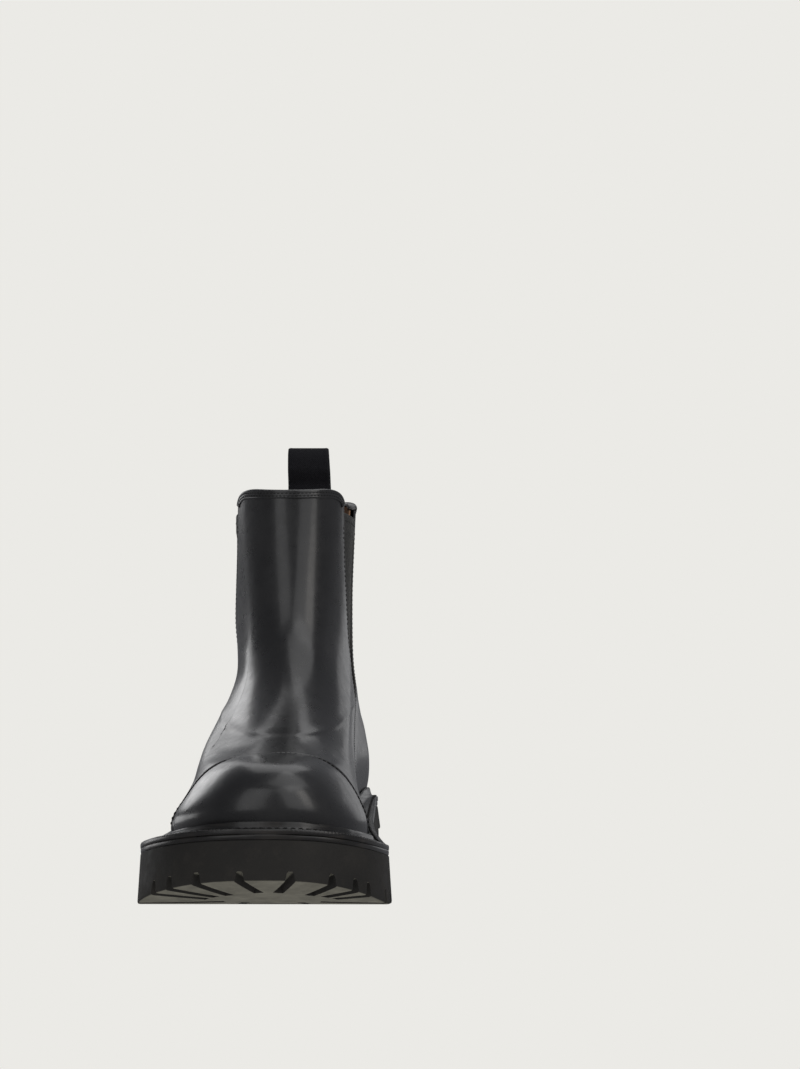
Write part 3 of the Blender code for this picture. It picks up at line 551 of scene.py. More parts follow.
def webbing():
    look = Look("webbing", (0.010, 0.010, 0.012), 0.8, Specular_IOR_Level=0.2)
    slant = look.wave(560.0, "DIAGONAL", look.stretched((-1.0, 0.0, 1.0)))
    yarn = look.wave(1100.0, "X", warp=0.3)
    twill = look.wave(900.0, "Z", warp=0.3)
    fuzz = look.noise(2400.0, 3.0, 0.7)
    look.colour(look.mix(slant, (0.0045, 0.0045, 0.0060), (0.0150, 0.0150, 0.0185)))
    look.rough(look.span(fuzz, 0.3, 0.7, 0.68, 0.9))
    look.bump(slant, 0.12, 0.7)
    look.bump(look.math("MULTIPLY", yarn, twill), 0.1, 0.6)
    look.bump(fuzz, 0.05, 0.7)
    return look.material


def rubber():
    look = Look("rubber", (0.022, 0.021, 0.0205), 0.65, Specular_IOR_Level=0.1)
    dust = look.noise(120.0, 6.0, 0.7)
    speck = look.cells(2100.0)
    bloom = look.noise(26.0, 3.0)
    base = look.mix(look.span(bloom, 0.35, 0.7), (0.0210, 0.0205, 0.0200), (0.029, 0.0275, 0.026))
    dusty = look.mix(look.math("MULTIPLY", look.span(dust, 0.52, 0.8), 0.4), base, (0.05, 0.045, 0.04))
    # painted light: faces that point down are painted much lighter, as if lit by the pale floor below,
    # mottled by the dust noise
    painted_floor_light = look.mix(look.span(dust, 0.3, 0.7), (0.100, 0.096, 0.080), (0.175, 0.168, 0.142))
    look.colour(look.mix(look.underside(), dusty, painted_floor_light))
    look.rough(look.span(dust, 0.3, 0.75, 0.52, 0.75))
    look.bump(look.noise(420.0, 4.0), 0.10, 0.55)
    look.bump(speck, 0.05, 0.6)
    return look.material


def thread():
    look = Look("thread", (0.008, 0.008, 0.008), 0.7, Specular_IOR_Level=0.2)
    twist = look.wave(900.0, "DIAGONAL")
    look.colour(look.mix(twist, (0.003, 0.003, 0.003), (0.014, 0.0135, 0.013)))
    look.rough(look.span(look.noise(500.0), 0.3, 0.7, 0.5, 0.75))
    look.bump(twist, 0.08, 0.8)
    return look.material


def board():
    look = Look("board", (0.34, 0.21, 0.12), 0.85)
    fibres = look.noise(420.0, 6.0, 0.7, look.stretched((1.0, 0.22, 1.0)))
    look.colour(look.mix(look.span(fibres, 0.3, 0.7), (0.22, 0.13, 0.07), (0.44, 0.30, 0.18)))
    look.rough(look.span(fibres, 0.3, 0.7, 0.75, 0.95))
    look.bump(fibres, 0.15, 0.7)
    return look.material


def cork():
    look = Look("cork", (0.42, 0.26, 0.14), 0.9)
    grains = look.cells(330.0)
    dark = look.noise(150.0, 5.0)
    brown = look.mix(look.span(grains, 0.0, 0.9), (0.50, 0.33, 0.18), (0.24, 0.13, 0.06))
    look.colour(look.mix(look.span(dark, 0.55, 0.75), brown, (0.10, 0.05, 0.02)))
    look.rough(look.span(dark, 0.3, 0.7, 0.8, 0.98))
    look.bump(grains, 0.4, 0.7)
    return look.material


def steel():
    look = Look("steel", (0.55, 0.55, 0.56), 0.3, Metallic=1.0)
    streaks = look.noise(260.0, 5.0, 0.6, look.stretched((6.0, 0.3, 1.0)))
    tint = look.noise(45.0, 3.0)
    look.colour(look.mix(look.span(tint, 0.35, 0.7), (0.56, 0.56, 0.57), (0.42, 0.40, 0.38)))
    look.rough(look.span(streaks, 0.3, 0.7, 0.22, 0.45))
    look.bump(streaks, 0.03, 0.6)
    return look.material


def stiffener():
    look = Look("stiffener", (0.62, 0.57, 0.46), 0.8)
    weave = look.math("MULTIPLY", look.wave(260.0, "X"), look.wave(260.0, "Z"))
    stain = look.noise(70.0, 4.0)
    cloth = look.mix(weave, (0.46, 0.41, 0.32), (0.68, 0.63, 0.52))
    look.colour(look.mix(look.span(stain, 0.55, 0.75), cloth, (0.40, 0.30, 0.18)))
    look.rough(look.span(stain, 0.3, 0.7, 0.7, 0.9))
    look.bump(weave, 0.2, 0.6)
    return look.material


# Each look: the material and the colour slot that it belongs to.
LEATHER = (polished_leather(), "upper_leather")
EDGE = (edge_leather(), "edge_leather")
LINING = (lining_leather(), "lining_leather")
ELASTIC, WEBBING = (elastic(), "elastic"), (webbing(), "webbing")
RUBBER, THREAD = (rubber(), "rubber"), (thread(), "thread")


# ---------------------------------------------------------------- the toe cap and the vamp


def front_turn(p, v):
    """Turn of the front panel's line p, from -1 at its lateral edge to +1 at its medial edge."""
    return p * turn_at(along(FRONT_EDGE, v), v)


def behind_seam(turn, v):
    """How far a point lies behind the toe cap's seam, in millimetres along the sole."""
    seam_y = CAP_Y + CAP_SWEEP * np.sin(turn) ** 2 + CAP_SKEW * np.sin(turn)
    return last_point(turn, v)[..., 1] - seam_y


def behind_cap(p, v, back):
    """How far the front panel's line p at v lies behind the cap's seam moved back by a distance."""
    return behind_seam(front_turn(p, v), v) - back


CAP_SEARCH_TOP = 0.7  # the cap's seam lies below this v


def cap_v(p, back=0.0):
    """v at which the front panel's line p crosses the cap's seam, or 0 where it starts behind it."""
    p = np.asarray(p, float)
    low, high = np.zeros(p.shape), np.full(p.shape, CAP_SEARCH_TOP)
    for _ in range(26):
        middle = 0.5 * (low + high)
        before = behind_cap(p, middle, back) < 0
        low, high = np.where(before, middle, low), np.where(before, high, middle)
    return np.where(behind_cap(p, np.zeros(p.shape), back) >= 0, 0.0, low)


def widest_cap_lines(back=0.0):
    """How far out the front panel lines lie whose feet are on the cap's seam, lateral and medial."""
    lines = np.linspace(0, 1, 401)
    reach = [np.argmin(np.abs(behind_cap(side * lines, np.zeros(401), back))) for side in (-1, 1)]
    return lines[reach]


def gathered(t, reach):
    """A line p from one reach to the other for t from -1 to 1, with more of the lines near the two ends."""
    return np.sign(t) * np.where(t > 0, reach[1], reach[0]) * (1 - (1 - np.abs(t)) ** 1.5)


def ripple(turn, v, size, phase=0.0):
    """Slow unevenness of hand-lasted leather, size millimetres at most."""
    drift = 6.1 * v + 2.3 * np.sin(turn + phase)
    return size * 0.5 * (
        np.sin(5.3 * turn + 2.1 * drift + phase) * np.cos(9.7 * v - 1.7 * turn)
        + 0.6 * np.sin(11.0 * turn - 14.0 * v + 2.0 * phase)
        + 0.4 * np.cos(23.0 * v + 3.0 * turn + phase)
    )


OVERLAY_BOTTOM, BOTTOM = 1.6 / UPPER_RUN, 0.7 / UPPER_RUN
CAP_REACH = 0.985 * widest_cap_lines()
UNDER_CAP = widest_cap_lines(-CAP_LAP)
# Each layer: how far its outer face stands off the upper's surface, and its thickness.
CAP_LAYER, UPPER_LAYER, LINING_LAYER, GORE_LAYER = (1.55, 1.35), (0.0, 1.2), (-2.6, 0.9), (-1.55, 0.9)
SEAM_ROW, CAP_ROW, HEM_ROW = 1.9, 1.8, 2.2
PITCH, THREAD_RADIUS, CAP_THREAD_RADIUS = 2.4, 0.24, 0.55


def cap_place(a, b):
    """The toe cap, from its lateral foot to its medial foot and from the welt to its seam."""
    p = gathered(2 * a - 1, CAP_REACH)
    v = OVERLAY_BOTTOM + b * np.maximum(cap_v(p) - OVERLAY_BOTTOM, 0.004)
    return front_turn(p, v), v


def valley(turn, v):
    """The seam draws the leather down between the stiffened toe and the instep."""
    behind = behind_seam(turn, v)
    return 0.8 * np.exp(-(((behind + 4.4) / 2.8) ** 2)) + 0.35 * np.exp(-((behind / 15.0) ** 2))


def on_cap(turn, v, a, b):
    """The stiffened toe stands full, and the cap's cut edge turns up a little behind its stitches."""
    full = smooth((-behind_seam(turn, v) - 5.5) / 6.5)
    lip = 0.36 * np.exp(-(((behind_seam(turn, v) + 0.9) / 0.8) ** 2))
    return (ripple(turn, v, 0.2, 0.7) * smooth(b * 3) + 0.9) * full + lip - valley(turn, v)


cap = sheet(
    "toe_cap", cap_place, LEATHER, CAP_LAYER, 110, 44,
    (PLAIN, PLAIN, PLAIN, edge(CAP_ROW, press=4.5)), on_cap, body="boot",
)
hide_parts("toe_cap")


def corner(share, start, drop):
    """v of a panel's top edge, which rounds off into the panel's side by a drop in millimetres."""
    near = np.clip((share - start) / (1 - start), 0.0, 1.0)
    return 1 - drop * (1 - np.sqrt(1 - near**2)) / TOP_STEP / TOP_LEVEL


def front_top(p):
    return corner(np.abs(p), 0.5, 11.0)


def rear_top(q):
    return corner(1 - q, 0.45, 8.5)


MIDDLE_SHARE = 0.75


def vamp_place(a, b):
    """The vamp: its middle lines start under the toe cap, and its two wings start at the welt."""
    t = 2 * a - 1
    middle = gathered(np.clip(t / MIDDLE_SHARE, -1, 1), UNDER_CAP)
    outer = np.clip((np.abs(t) - MIDDLE_SHARE) / (1 - MIDDLE_SHARE), 0.0, 1.0)
    inner = np.where(t > 0, UNDER_CAP[1], UNDER_CAP[0])
    wing = np.sign(t) * (inner + (1 - inner) * (1 - (1 - outer) ** 1.6))
    p = np.where(np.abs(t) <= MIDDLE_SHARE, middle, wing)
    low = np.maximum(BOTTOM, cap_v(p, -CAP_LAP))
    v = low + b * (front_top(p) - low)
    return front_turn(p, v), v


def on_vamp(turn, v, a, b):
    """The vamp rises a little over the quarter that runs under its side edge."""
    from_edge = along(FRONT_EDGE, v) - last_point(turn, v)[..., 1]
    from_edge = from_edge * (1 - smooth((v - GORE_V + 0.05) / 0.05))
    lapped = (1 - smooth((v - GORE_V + 0.03) / 0.05)) * (1 - smooth((from_edge - 6.0) / 12.0))
    free = smooth((behind_seam(turn, v) - 2.0) / 42.0)
    return ripple(turn, v, 0.3) * free + 0.45 * lapped - valley(turn, v)


vamp = sheet(
    "vamp", vamp_place, LEATHER, UPPER_LAYER, 150, 130,
    (edge(SEAM_ROW), edge(SEAM_ROW), PLAIN, PLAIN), on_vamp, body="boot",
)
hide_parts("vamp")


# ---------------------------------------------------------------- the quarters, the backstay and the gores


def seam_y(v):
    """The quarter's front edge: under the vamp below the gore, and the gore's rear edge above."""
    under = along(FRONT_EDGE, v) - 7.0
    free = along(REAR_EDGE, np.maximum(v, GORE_V))
    return under + (free - under) * smooth((v - GORE_V + 0.035) / 0.035)


def rear_turn(q, v, side):
    """Turn of the rear panel's line q, from 0 at the gore or side seam to 1 at the back seam."""
    start = turn_at(seam_y(v), v)
    return side * (start + q * (math.pi - 0.004 - start))


def quarter_place(side):
    def place(a, b):
        q = (a if side > 0 else 1 - a) ** 1.35
        v = BOTTOM + b * (rear_top(q) - BOTTOM)
        return rear_turn(q, v, side), v

    return place


def on_quarter(turn, v, a, b):
    """The quarter comes up from under the vamp's edge over some centimetres."""
    behind = last_point(turn, v)[..., 1] - along(FRONT_EDGE, v)
    below_gore = 1 - smooth((v - GORE_V + 0.055) / 0.055)
    return ripple(turn, v, 0.3, 1.9) - 0.85 * below_gore * (1 - smooth((behind - 1.0) / 24.0))


for side, word in ((1, "medial"), (-1, "lateral")):
    front_edge = (edge(SEAM_ROW), PLAIN) if side > 0 else (PLAIN, edge(SEAM_ROW))
    quarter = sheet(
        f"quarter_{word}", quarter_place(side), LEATHER, UPPER_LAYER, 74, 110,
        (*front_edge, PLAIN, PLAIN), on_quarter,
    )
    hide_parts(f"quarter_{word}", f"shaft_{word}")
    bend(quarter)


STAY_NARROW_V = 7.6 / TOP_LEVEL  # from here up the strip keeps its least width


def stay_place(a, b):
    """The strip over the back seam, which widens towards the sole."""
    v = OVERLAY_BOTTOM + b * (1 - 2.6 / UPPER_RUN - OVERLAY_BOTTOM)
    half = 15.0 - 5.0 * smooth(v / STAY_NARROW_V)
    row = level(v)
    share = 1 - 0.5 * row[..., 11] * (half / row[..., 9]) ** 2
    return math.pi + np.arccos(2 * share - 1) * (2 * a - 1), v


def soft(size, phase):
    """Relief of a panel with nothing but its slow unevenness."""
    return lambda turn, v, a, b: ripple(turn, v, size, phase)


STAY_LAYER, ON_STAY = (1.25, 1.15), soft(0.3, 1.9)
stay = sheet(
    "backstay", stay_place, LEATHER, STAY_LAYER, 34, 120,
    (edge(SEAM_ROW), edge(SEAM_ROW), PLAIN, PLAIN), ON_STAY,
)
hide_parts("backstay", "shaft_backstay")
bend(stay)

GORE_LAP, RIB_PITCH = 4.0, 1.5


def gore_place(side):
    def place(a, b):
        share = a if side > 0 else 1 - a
        low = GORE_V - 2.5 / UPPER_RUN
        dip = (12.0 + 1.6 * np.sin(math.pi * share)) / TOP_STEP / TOP_LEVEL
        v = low + b * (1 - dip - low)
        front = along(FRONT_EDGE, v) - GORE_LAP
        rear = along(REAR_EDGE, np.maximum(v, GORE_V)) + GORE_LAP
        return side * turn_at(front + share * (rear - front), v), v

    return place


def rib_phase(turn, v):
    """Ribs run up the gore at one spacing, measured from its own middle line."""
    front, rear = along(FRONT_EDGE, v), along(REAR_EDGE, np.maximum(v, GORE_V))
    return (last_point(turn, v)[..., 1] - 0.5 * (front + rear)) / RIB_PITCH


def on_gore(turn, v, a, b):
    """Ribs, a slight hollow between the leather edges and a doubled hem along the top."""
    hem = smooth((b - 0.93) / 0.02)
    ribs = 0.5 + 0.5 * np.cos(2 * math.pi * rib_phase(turn, v))
    return 0.42 * ribs**0.7 * (1 - 0.45 * hem) + 0.45 * hem - 0.25 * np.sin(math.pi * a) * (1 - hem)


for side, word in ((1, "medial"), (-1, "lateral")):
    gore = sheet(
        f"gore_{word}", gore_place(side), ELASTIC, GORE_LAYER, 300, 90,
        (PLAIN, PLAIN, PLAIN, ROUNDED), on_gore,
    )
    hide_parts(f"gore_{word}")
    bend(gore, gore=True)


# ---------------------------------------------------------------- the linings


def vamp_lining_place(a, b):
    p = 2 * a - 1
    v = BOTTOM + b * (front_top(p) - BOTTOM)
    return front_turn(p, v), v


def around_back(a):
    """Line q and side of a sheet that wraps the back from one rear edge to the other."""
    return 1 - np.abs(2 * a - 1), np.where(a < 0.5, 1.0, -1.0)


def back_turn(q, v, side):
    """Turn of a line on a sheet that wraps the back: it passes the heel without a jump."""
    return np.where(q > 0.9999, math.pi, rear_turn(q, v, side) % (2 * math.pi))


def rear_lining_place(a, b):
    q, side = around_back(a)
    v = BOTTOM + b * (rear_top(q) - BOTTOM)
    return back_turn(q, v, side), v


front_lining = sheet(
    "vamp_lining", vamp_lining_place, LINING, LINING_LAYER, 90, 90,
    (ROUNDED, ROUNDED, PLAIN, PLAIN), soft(0.25, 0.4), body="boot",
)
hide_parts("vamp_lining")
rear_lining = sheet(
    "rear_lining", rear_lining_place, LINING, LINING_LAYER, 121, 90,
    (ROUNDED, ROUNDED, PLAIN, PLAIN), soft(0.25, 1.1),
)
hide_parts("quarter_lining", "shaft_lining")
bend(rear_lining)

# ---------------------------------------------------------------- the bindings

BINDING_WALL, BINDING_CLEAR, BINDING_TALL, BINDING_INSIDE = 0.5, 0.2, 3.5, 1.1
BINDING_ROWS, BINDING_PITCH, BINDING_THREAD_RADIUS = (0.95, 2.35), 2.0, 0.19
TOPLINE_THICKNESS = 3.5  # of the leather and the lining together
END_RUN = 1.1  # the tape is drawn in over this length at its ends


def binding_ring(outer, inner):
    """The tape over the edge, as (depth, height) pairs, outer side first. It reaches less far inside."""
    wall, over = BINDING_WALL, BINDING_CLEAR + 0.1
    middle, half = 0.5 * (outer + inner), 0.5 * (outer - inner)
    bow = [(math.cos(t), math.sin(t)) for t in np.linspace(0, math.pi, 13)]
    fold = [(middle + (half + wall) * c, over + 1.7 * wall * h) for c, h in bow]
    under = [(middle - half * c, over + 0.45 * wall * h) for c, h in bow]
    marks = [(-BINDING_TALL, 0.3), (-BINDING_TALL + 0.22, 0.05)]
    for row in BINDING_ROWS[::-1]:
        marks += [(-row - 0.45, 0.0), (-row, 0.14), (-row + 0.45, 0.0)]
    outside = [(outer + wall - drop, height) for height, drop in marks]
    foot = -BINDING_INSIDE
    inside = [(inner - wall, foot + 0.25), (inner - wall + 0.2, foot), (inner, foot)]
    return outside + fold + inside + under + [(outer, -BINDING_TALL)]


BINDING_RING = np.array(binding_ring(BINDING_CLEAR, -TOPLINE_THICKNESS - BINDING_CLEAR))


def binding(name, turns, v, body):
    """The folded tape over a panel's top edge, with its two rows of stitches."""
    point, normal, rising = last_frame(turns, v)
    across = np.cross(normal, unit(np.gradient(point, axis=0)))
    up = unit(across) * np.sign((across * rising).sum(axis=-1))[:, None]
    run = running(point)
    from_end = np.minimum(run, run[-1] - run)
    tapered = np.sqrt(np.clip(1 - (1 - from_end / END_RUN) ** 2, 0.12, 1.0))
    full = np.where(from_end < END_RUN, tapered, 1.0)
    uneven = 0.12 * np.sin(run / 5.3) + 0.08 * np.sin(run / 2.1 + 1.0)
    middle = 0.5 * TOPLINE_THICKNESS
    depth = -middle + (BINDING_RING[:, 0] + middle)[None, :] * full[:, None]
    height = BINDING_RING[:, 1][None, :] + uneven[:, None] * (BINDING_RING[:, 1] < -3.0)[None, :]
    rings = point[:, None] + normal[:, None] * depth[..., None] + up[:, None] * height[..., None]
    made = loft(name, rings, LEATHER, body=body)
    keep = (run > 1.6) & (run < run[-1] - 1.6)
    for k, low in enumerate(BINDING_ROWS):
        path = (point + normal * (BINDING_CLEAR + BINDING_WALL - 0.13) - up * low)[keep]
        row = f"{name}_stitches_{k + 1}"
        stitches(row, path, normal[keep], BINDING_PITCH, BINDING_THREAD_RADIUS, body=body)
    return made


def close_at_ends(count):
    """Places from -1 to 1 that lie closer together towards the two ends."""
    return np.sin(0.5 * math.pi * np.linspace(-1, 1, count))


across = 0.9985 * close_at_ends(300)
tops = front_top(across)
front_binding = binding("binding_front", front_turn(across, tops), tops, "boot")
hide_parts("binding_front")
across, sides = around_back(0.5 + 0.4985 * close_at_ends(361))
tops = rear_top(across)
rear_binding = binding("binding_rear", back_turn(across, tops, sides), tops, "rear_shaft")
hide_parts("binding_rear")

# ---------------------------------------------------------------- seams


STITCH_SINK = 0.14  # the rows' middle lies this far under the leather's face


def seam(name, place, which, layer, relief, span, body=None, row=SEAM_ROW):
    """A row of stitches along a panel's edge, between two shares of the edge's length."""
    path, normals = edge_row(place, which, row, layer[0] - STITCH_SINK, relief, *span)
    return stitches(name, path, normals, PITCH, THREAD_RADIUS, body=body)


def cap_seam():
    """A thick thread that lies proud over the toe and is drawn in towards the welt."""
    path, normals = edge_row(cap_place, "top", CAP_ROW, CAP_LAYER[0] + 0.1, on_cap, 0.012, 0.988)
    outward = np.abs(np.linspace(-1, 1, len(path)))
    path = path - normals * CAP_THREAD_RADIUS * smooth((outward - 0.35) / 0.4)[:, None]
    stitches("cap_stitches", path, normals, PITCH, CAP_THREAD_RADIUS, 0.8, "boot")


cap_seam()
for side, word in ((1, "medial"), (-1, "lateral")):
    near, far = ("left", "right") if side > 0 else ("right", "left")
    seam(f"vamp_edge_stitches_{word}", vamp_place, far, UPPER_LAYER, on_vamp, (0.03, 0.965), "boot")
    bend(seam(f"gore_rear_stitches_{word}", quarter_place(side), near, UPPER_LAYER, on_quarter, (0.5, 0.965)))
    bend(seam(f"backstay_stitches_{word}", stay_place, near, STAY_LAYER, ON_STAY, (0.04, 0.975)))
    hem = f"gore_hem_stitches_{word}"
    bend(seam(hem, gore_place(side), "top", GORE_LAYER, on_gore, (0.12, 0.88), row=HEM_ROW), gore=True)

# ---------------------------------------------------------------- the pull tab

TAB_WIDTH, TAB_TAPE, TAB_X, TAB_Y = 21.0, 1.3, 0.6, 127.2
TAB_PIVOT_Z = JOINTS["pull_tab_fold"]["pos_m"][2] / MM
TAB_RISE, TAB_BELLY, TAB_NECK = 25.5, 5.2, 1.8
TAB_SET_BACK, TAB_HUG = 4.6, 0.021  # the sewn end's place behind the loop, and its bow round the heel


def tab_half(share):
    """Half the loop's depth at a share of its height."""
    belly = TAB_NECK + (TAB_BELLY - TAB_NECK) * smooth((share - 0.22) / 0.38)
    return belly * np.sqrt(np.clip(1 - np.maximum(0.0, (share - 0.72) / 0.28) ** 2, 0.0, 1.0))


def tab_line():
    """The middle of the tape: up the front strand, over the fold and down the rear strand, as (y, z)."""
    share = np.sin(np.linspace(0, math.pi / 2, 70))
    low = np.linspace(TAB_PIVOT_Z - 19.0, TAB_PIVOT_Z - 0.6, 40)
    half = np.concatenate([np.full(40, TAB_NECK), tab_half(share)]) - 0.5 * TAB_TAPE
    half[:40] = 0.62 + (half[40] - 0.62) * smooth((low - TAB_PIVOT_Z + 6.0) / 6.0)
    z = np.concatenate([low, TAB_PIVOT_Z + share * (TAB_RISE - 0.5 * TAB_TAPE)])
    back = TAB_SET_BACK * (1 - smooth((z - TAB_PIVOT_Z + 15.0) / 14.0))
    up = np.stack([TAB_Y + back - np.maximum(half, 0.0), z], axis=-1)
    down = np.stack([TAB_Y + back + np.maximum(half, 0.0), z], axis=-1)[::-1]
    return np.concatenate([up, down[1:]])


def tab_loop():
    """The loop of twill tape: across it, bound selvedges; along it, the line above."""
    line = tab_line()
    run = running(line)
    keep = np.concatenate([[True], np.diff(run) > 0.02])
    s = np.linspace(0, run[keep][-1], 240)
    line = at_runs(line[keep], run[keep], s)
    slope = np.gradient(line, axis=0)
    normal = unit(np.stack([-slope[:, 1], slope[:, 0]], axis=-1))
    t = np.linspace(-1, 1, 31)
    x = 0.5 * TAB_WIDTH * t
    selvedge = 0.12 * np.exp(-(((1 - np.abs(t)) * 10.5 - 1.1) / 0.5) ** 2)
    half = 0.5 * TAB_TAPE * np.sqrt(np.clip(1 - np.abs(t) ** 26, 0.08, 1.0)) + selvedge
    sag = 0.35 * np.sin(2.2 * t + 0.4) * np.sin(math.pi * s / s[-1])[:, None] ** 2
    hug = -TAB_HUG * x**2 * (1 - smooth((line[:, 1] - TAB_PIVOT_Z + 14.0) / 16.0))[:, None]
    outer = line[:, None, :] + normal[:, None, :] * half[None, :, None]
    inner = line[:, None, :] - normal[:, None, :] * half[None, :, None]
    rings = np.concatenate([outer, inner[:, ::-1]], axis=1)
    shift = np.concatenate([sag + hug, (sag + hug)[:, ::-1]], axis=1)
    flare = 1.3 * (1 - smooth((line[:, 1] - TAB_PIVOT_Z) / TAB_RISE))
    wide = x[None, :] + flare[:, None] * np.maximum(t, 0.0)[None, :]
    across = np.concatenate([wide, wide[:, ::-1]], axis=1) + TAB_X
    return np.stack([across, rings[..., 0] + shift, rings[..., 1]], axis=-1)


tab = loft("pull_tab", tab_loop(), WEBBING)
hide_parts("pull_tab", "pull_tab_end")
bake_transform(tab)


def tab_box():
    """The box and cross that sew the tab down inside the shaft, as a path and its normals."""
    low, high, half = TAB_PIVOT_Z - 17.5, TAB_PIVOT_Z - 10.5, 8.6
    outline = ((-half, low), (half, low), (half, high), (-half, high), (-half, low))
    corners = np.array((*outline, (half, high), (-half, high), (half, low)))
    line = np.concatenate([np.linspace(c, d, 30)[:-1] for c, d in zip(corners, corners[1:])])
    x, z = line[:, 0], line[:, 1]
    y = TAB_Y + TAB_SET_BACK - 1.27 - TAB_HUG * x**2
    normals = unit(np.stack([-2 * TAB_HUG * x, -np.ones(len(x)), np.zeros(len(x))], axis=-1))
    return np.stack([TAB_X + x, y, z], axis=-1), normals


stitches("pull_tab_stitches", *tab_box(), BINDING_PITCH, THREAD_RADIUS, body="rear_shaft")

# ---------------------------------------------------------------- the welt


RIDGE_WIDTH, WELT_REACH = 3.4, 5.0  # the storm ridge at its foot, and the welt's part under the upper


def ridge_clearance(y):
    """Space between the upper and the storm ridge: wider where the toe cap and the backstay lie on it."""
    bare = smooth((y - CAP_Y - CAP_SWEEP - CAP_SKEW) / 8.0) * smooth((132.0 - y) / 8.0)
    return 1.95 - 1.5 * bare


def flat(points):
    return points * (1.0, 1.0, 0.0)


def welt_plan(turn):
    """Plan lines of the welt: inner edge, ridge's inside and outside foot, its crest, and the outer edge."""
    foot, normal, _ = last_frame(turn, 0.0)
    outward = unit(flat(normal))
    share = 0.5 * (1 - np.cos(turn))
    y = TOE_TIP_Y + EDGE_INSET + share * (SOLE_LENGTH - 2 * EDGE_INSET)
    x = plan_x(SOLE_PLAN, np.clip((y - TOE_TIP_Y) / SOLE_LENGTH, 0, 1), side_of(turn))
    rim = np.stack([x - np.sin(turn) * EDGE_INSET, y, 0 * y], axis=-1)
    clear = ridge_clearance(foot[..., 1])[..., None]
    crest = last_point(turn, STORM_RIDGE / FOOT_STEP / TOP_LEVEL)
    outer_foot = foot + outward * (clear + RIDGE_WIDTH)
    inner_edge = foot - outward * WELT_REACH
    lines = (inner_edge, foot + outward * clear, crest + outward * clear, outer_foot, rim)
    return [flat(line) for line in lines]


def even_turns(count):
    """Turns evenly spaced along the welt's outer edge, their running lengths and the edge's whole length."""
    turns = np.linspace(-math.pi, math.pi, 6001)
    run = running(welt_plan(turns)[4])
    places = np.arange(count) * run[-1] / count
    return np.interp(places, run, turns), places, run[-1]


GROOVE_SHARE = 0.4  # of the flange, from its rim to the ridge, where the stitches lie
# Points of the welt's section: two plan lines, the share between them, an inset in millimetres, and the
# height over the feather line. Lines are numbered as in welt_plan.
WELT_SECTION = (
    (0, 0, 0, 0, -2.4), (4, 0, 0, 0.3, -2.4), (4, 0, 0, 0.04, -2.34), (4, 0, 0, 0, -1.85),
    (4, 0, 0, -0.06, -1.2), (4, 0, 0, 0, -0.6), (4, 0, 0, 0.16, -0.18), (4, 0, 0, 0.5, 0.0),
    (4, 3, 0.2, 0, 0.02), (4, 3, 0.3, 0, -0.08), (4, 3, GROOVE_SHARE, 0, -0.2), (4, 3, 0.5, 0, -0.08),
    (4, 3, 0.62, 0, 0.04), (4, 3, 0.85, 0, 0.12), (3, 2, 0.06, 0, 0.45), (3, 2, 0.3, 0, 1.5),
    (3, 2, 0.44, 0, 2.8), (3, 2, 0.52, 0, 3.8), (3, 2, 0.64, 0, 4.35), (3, 2, 0.82, 0, 4.6),
    (3, 2, 0.97, 0, 4.4), (2, 1, 0.2, 0, 3.4), (1, 1, 0, 0, -0.05), (0, 0, 0, 0, -0.05),
)
FLANGE_POINTS, RIDGE_POINTS = (5, 6, 7, 8, 9, 11, 12), (15, 16, 17, 18, 19)
WHEEL_PITCH, WELT_STITCH = 2.1, 3.5


def welt_ring():
    """The welt's section all round the boot, wheeled on the flange and pinched along the storm ridge."""
    turns, run, total = even_turns(2000)
    lines = welt_plan(turns)
    marks = round(total / WHEEL_PITCH)
    tick = np.maximum(0.0, np.cos(2 * math.pi * marks * run / total)) ** 6
    pinch = 0.5 + 0.5 * np.sin(run / 2.9 + 1.4 * np.sin(run / 23.0))
    pinch = pinch * (0.55 + 0.45 * np.sin(run / 31.0 + 2.0))
    rows = []
    for k, (first, second, share, inset, height) in enumerate(WELT_SECTION):
        plan = lines[first] + (lines[second] - lines[first]) * share
        inward = unit(lines[3] - lines[4])
        lift = np.full(len(turns), float(height))
        if k in FLANGE_POINTS:
            lift -= 0.2 * tick
            inset = inset + 0.1 * tick
        if k in RIDGE_POINTS:
            inset = 0.26 * pinch
        lift += 0.1 * np.sin(run / 17.0 + 0.6) * (height > 3.0)
        plan = plan + inward * np.broadcast_to(inset, run.shape)[:, None]
        rows.append(plan + np.stack([0 * lift, 0 * lift, bed(plan[:, 1]) + lift], axis=-1))
    return np.stack(rows, axis=1)


def welt_row():
    """The line of stitches in the flange's groove, closed on itself, and its normals."""
    lines = welt_plan(even_turns(1500)[0])
    path = lines[4] + (lines[3] - lines[4]) * GROOVE_SHARE
    path[:, 2] = bed(path[:, 1]) + 0.12
    path = np.concatenate([path, path[:1]])
    return path, np.tile((0.0, 0.0, 1.0), (len(path), 1))


welt = cleaned(loft("welt", welt_ring(), EDGE, closed=True, body="boot"))
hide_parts("welt")
welt_thread = stitches("welt_thread", *welt_row(), WELT_STITCH, 0.5, 0.8, "boot")
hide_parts("welt_thread")

# ---------------------------------------------------------------- the sole


def sole_ring(y):
    """The sole's plan at stations y, from the lateral toe round the heel to the medial toe."""
    share = (y - TOE_TIP_Y) / SOLE_LENGTH
    left = np.stack([plan_x(SOLE_PLAN, share, -1.0), y], axis=-1)
    right = np.stack([plan_x(SOLE_PLAN, share, 1.0), y], axis=-1)
    return np.concatenate([left, right[::-1]])


def stations(start, end, count):
    """Stations along the sole from start to end, closer together where its plan turns."""
    y = np.linspace(start, end, 8001)
    left = sole_ring(y)[:8001]
    run = running(left)
    return np.interp(np.linspace(0, run[-1], count), run, y)


def drawn_in(ring, inset):
    """A ring of plan points moved inwards along its own normal."""
    slope = unit(np.gradient(ring, axis=0))
    return ring + np.stack([slope[:, 1], -slope[:, 0]], axis=-1) * inset


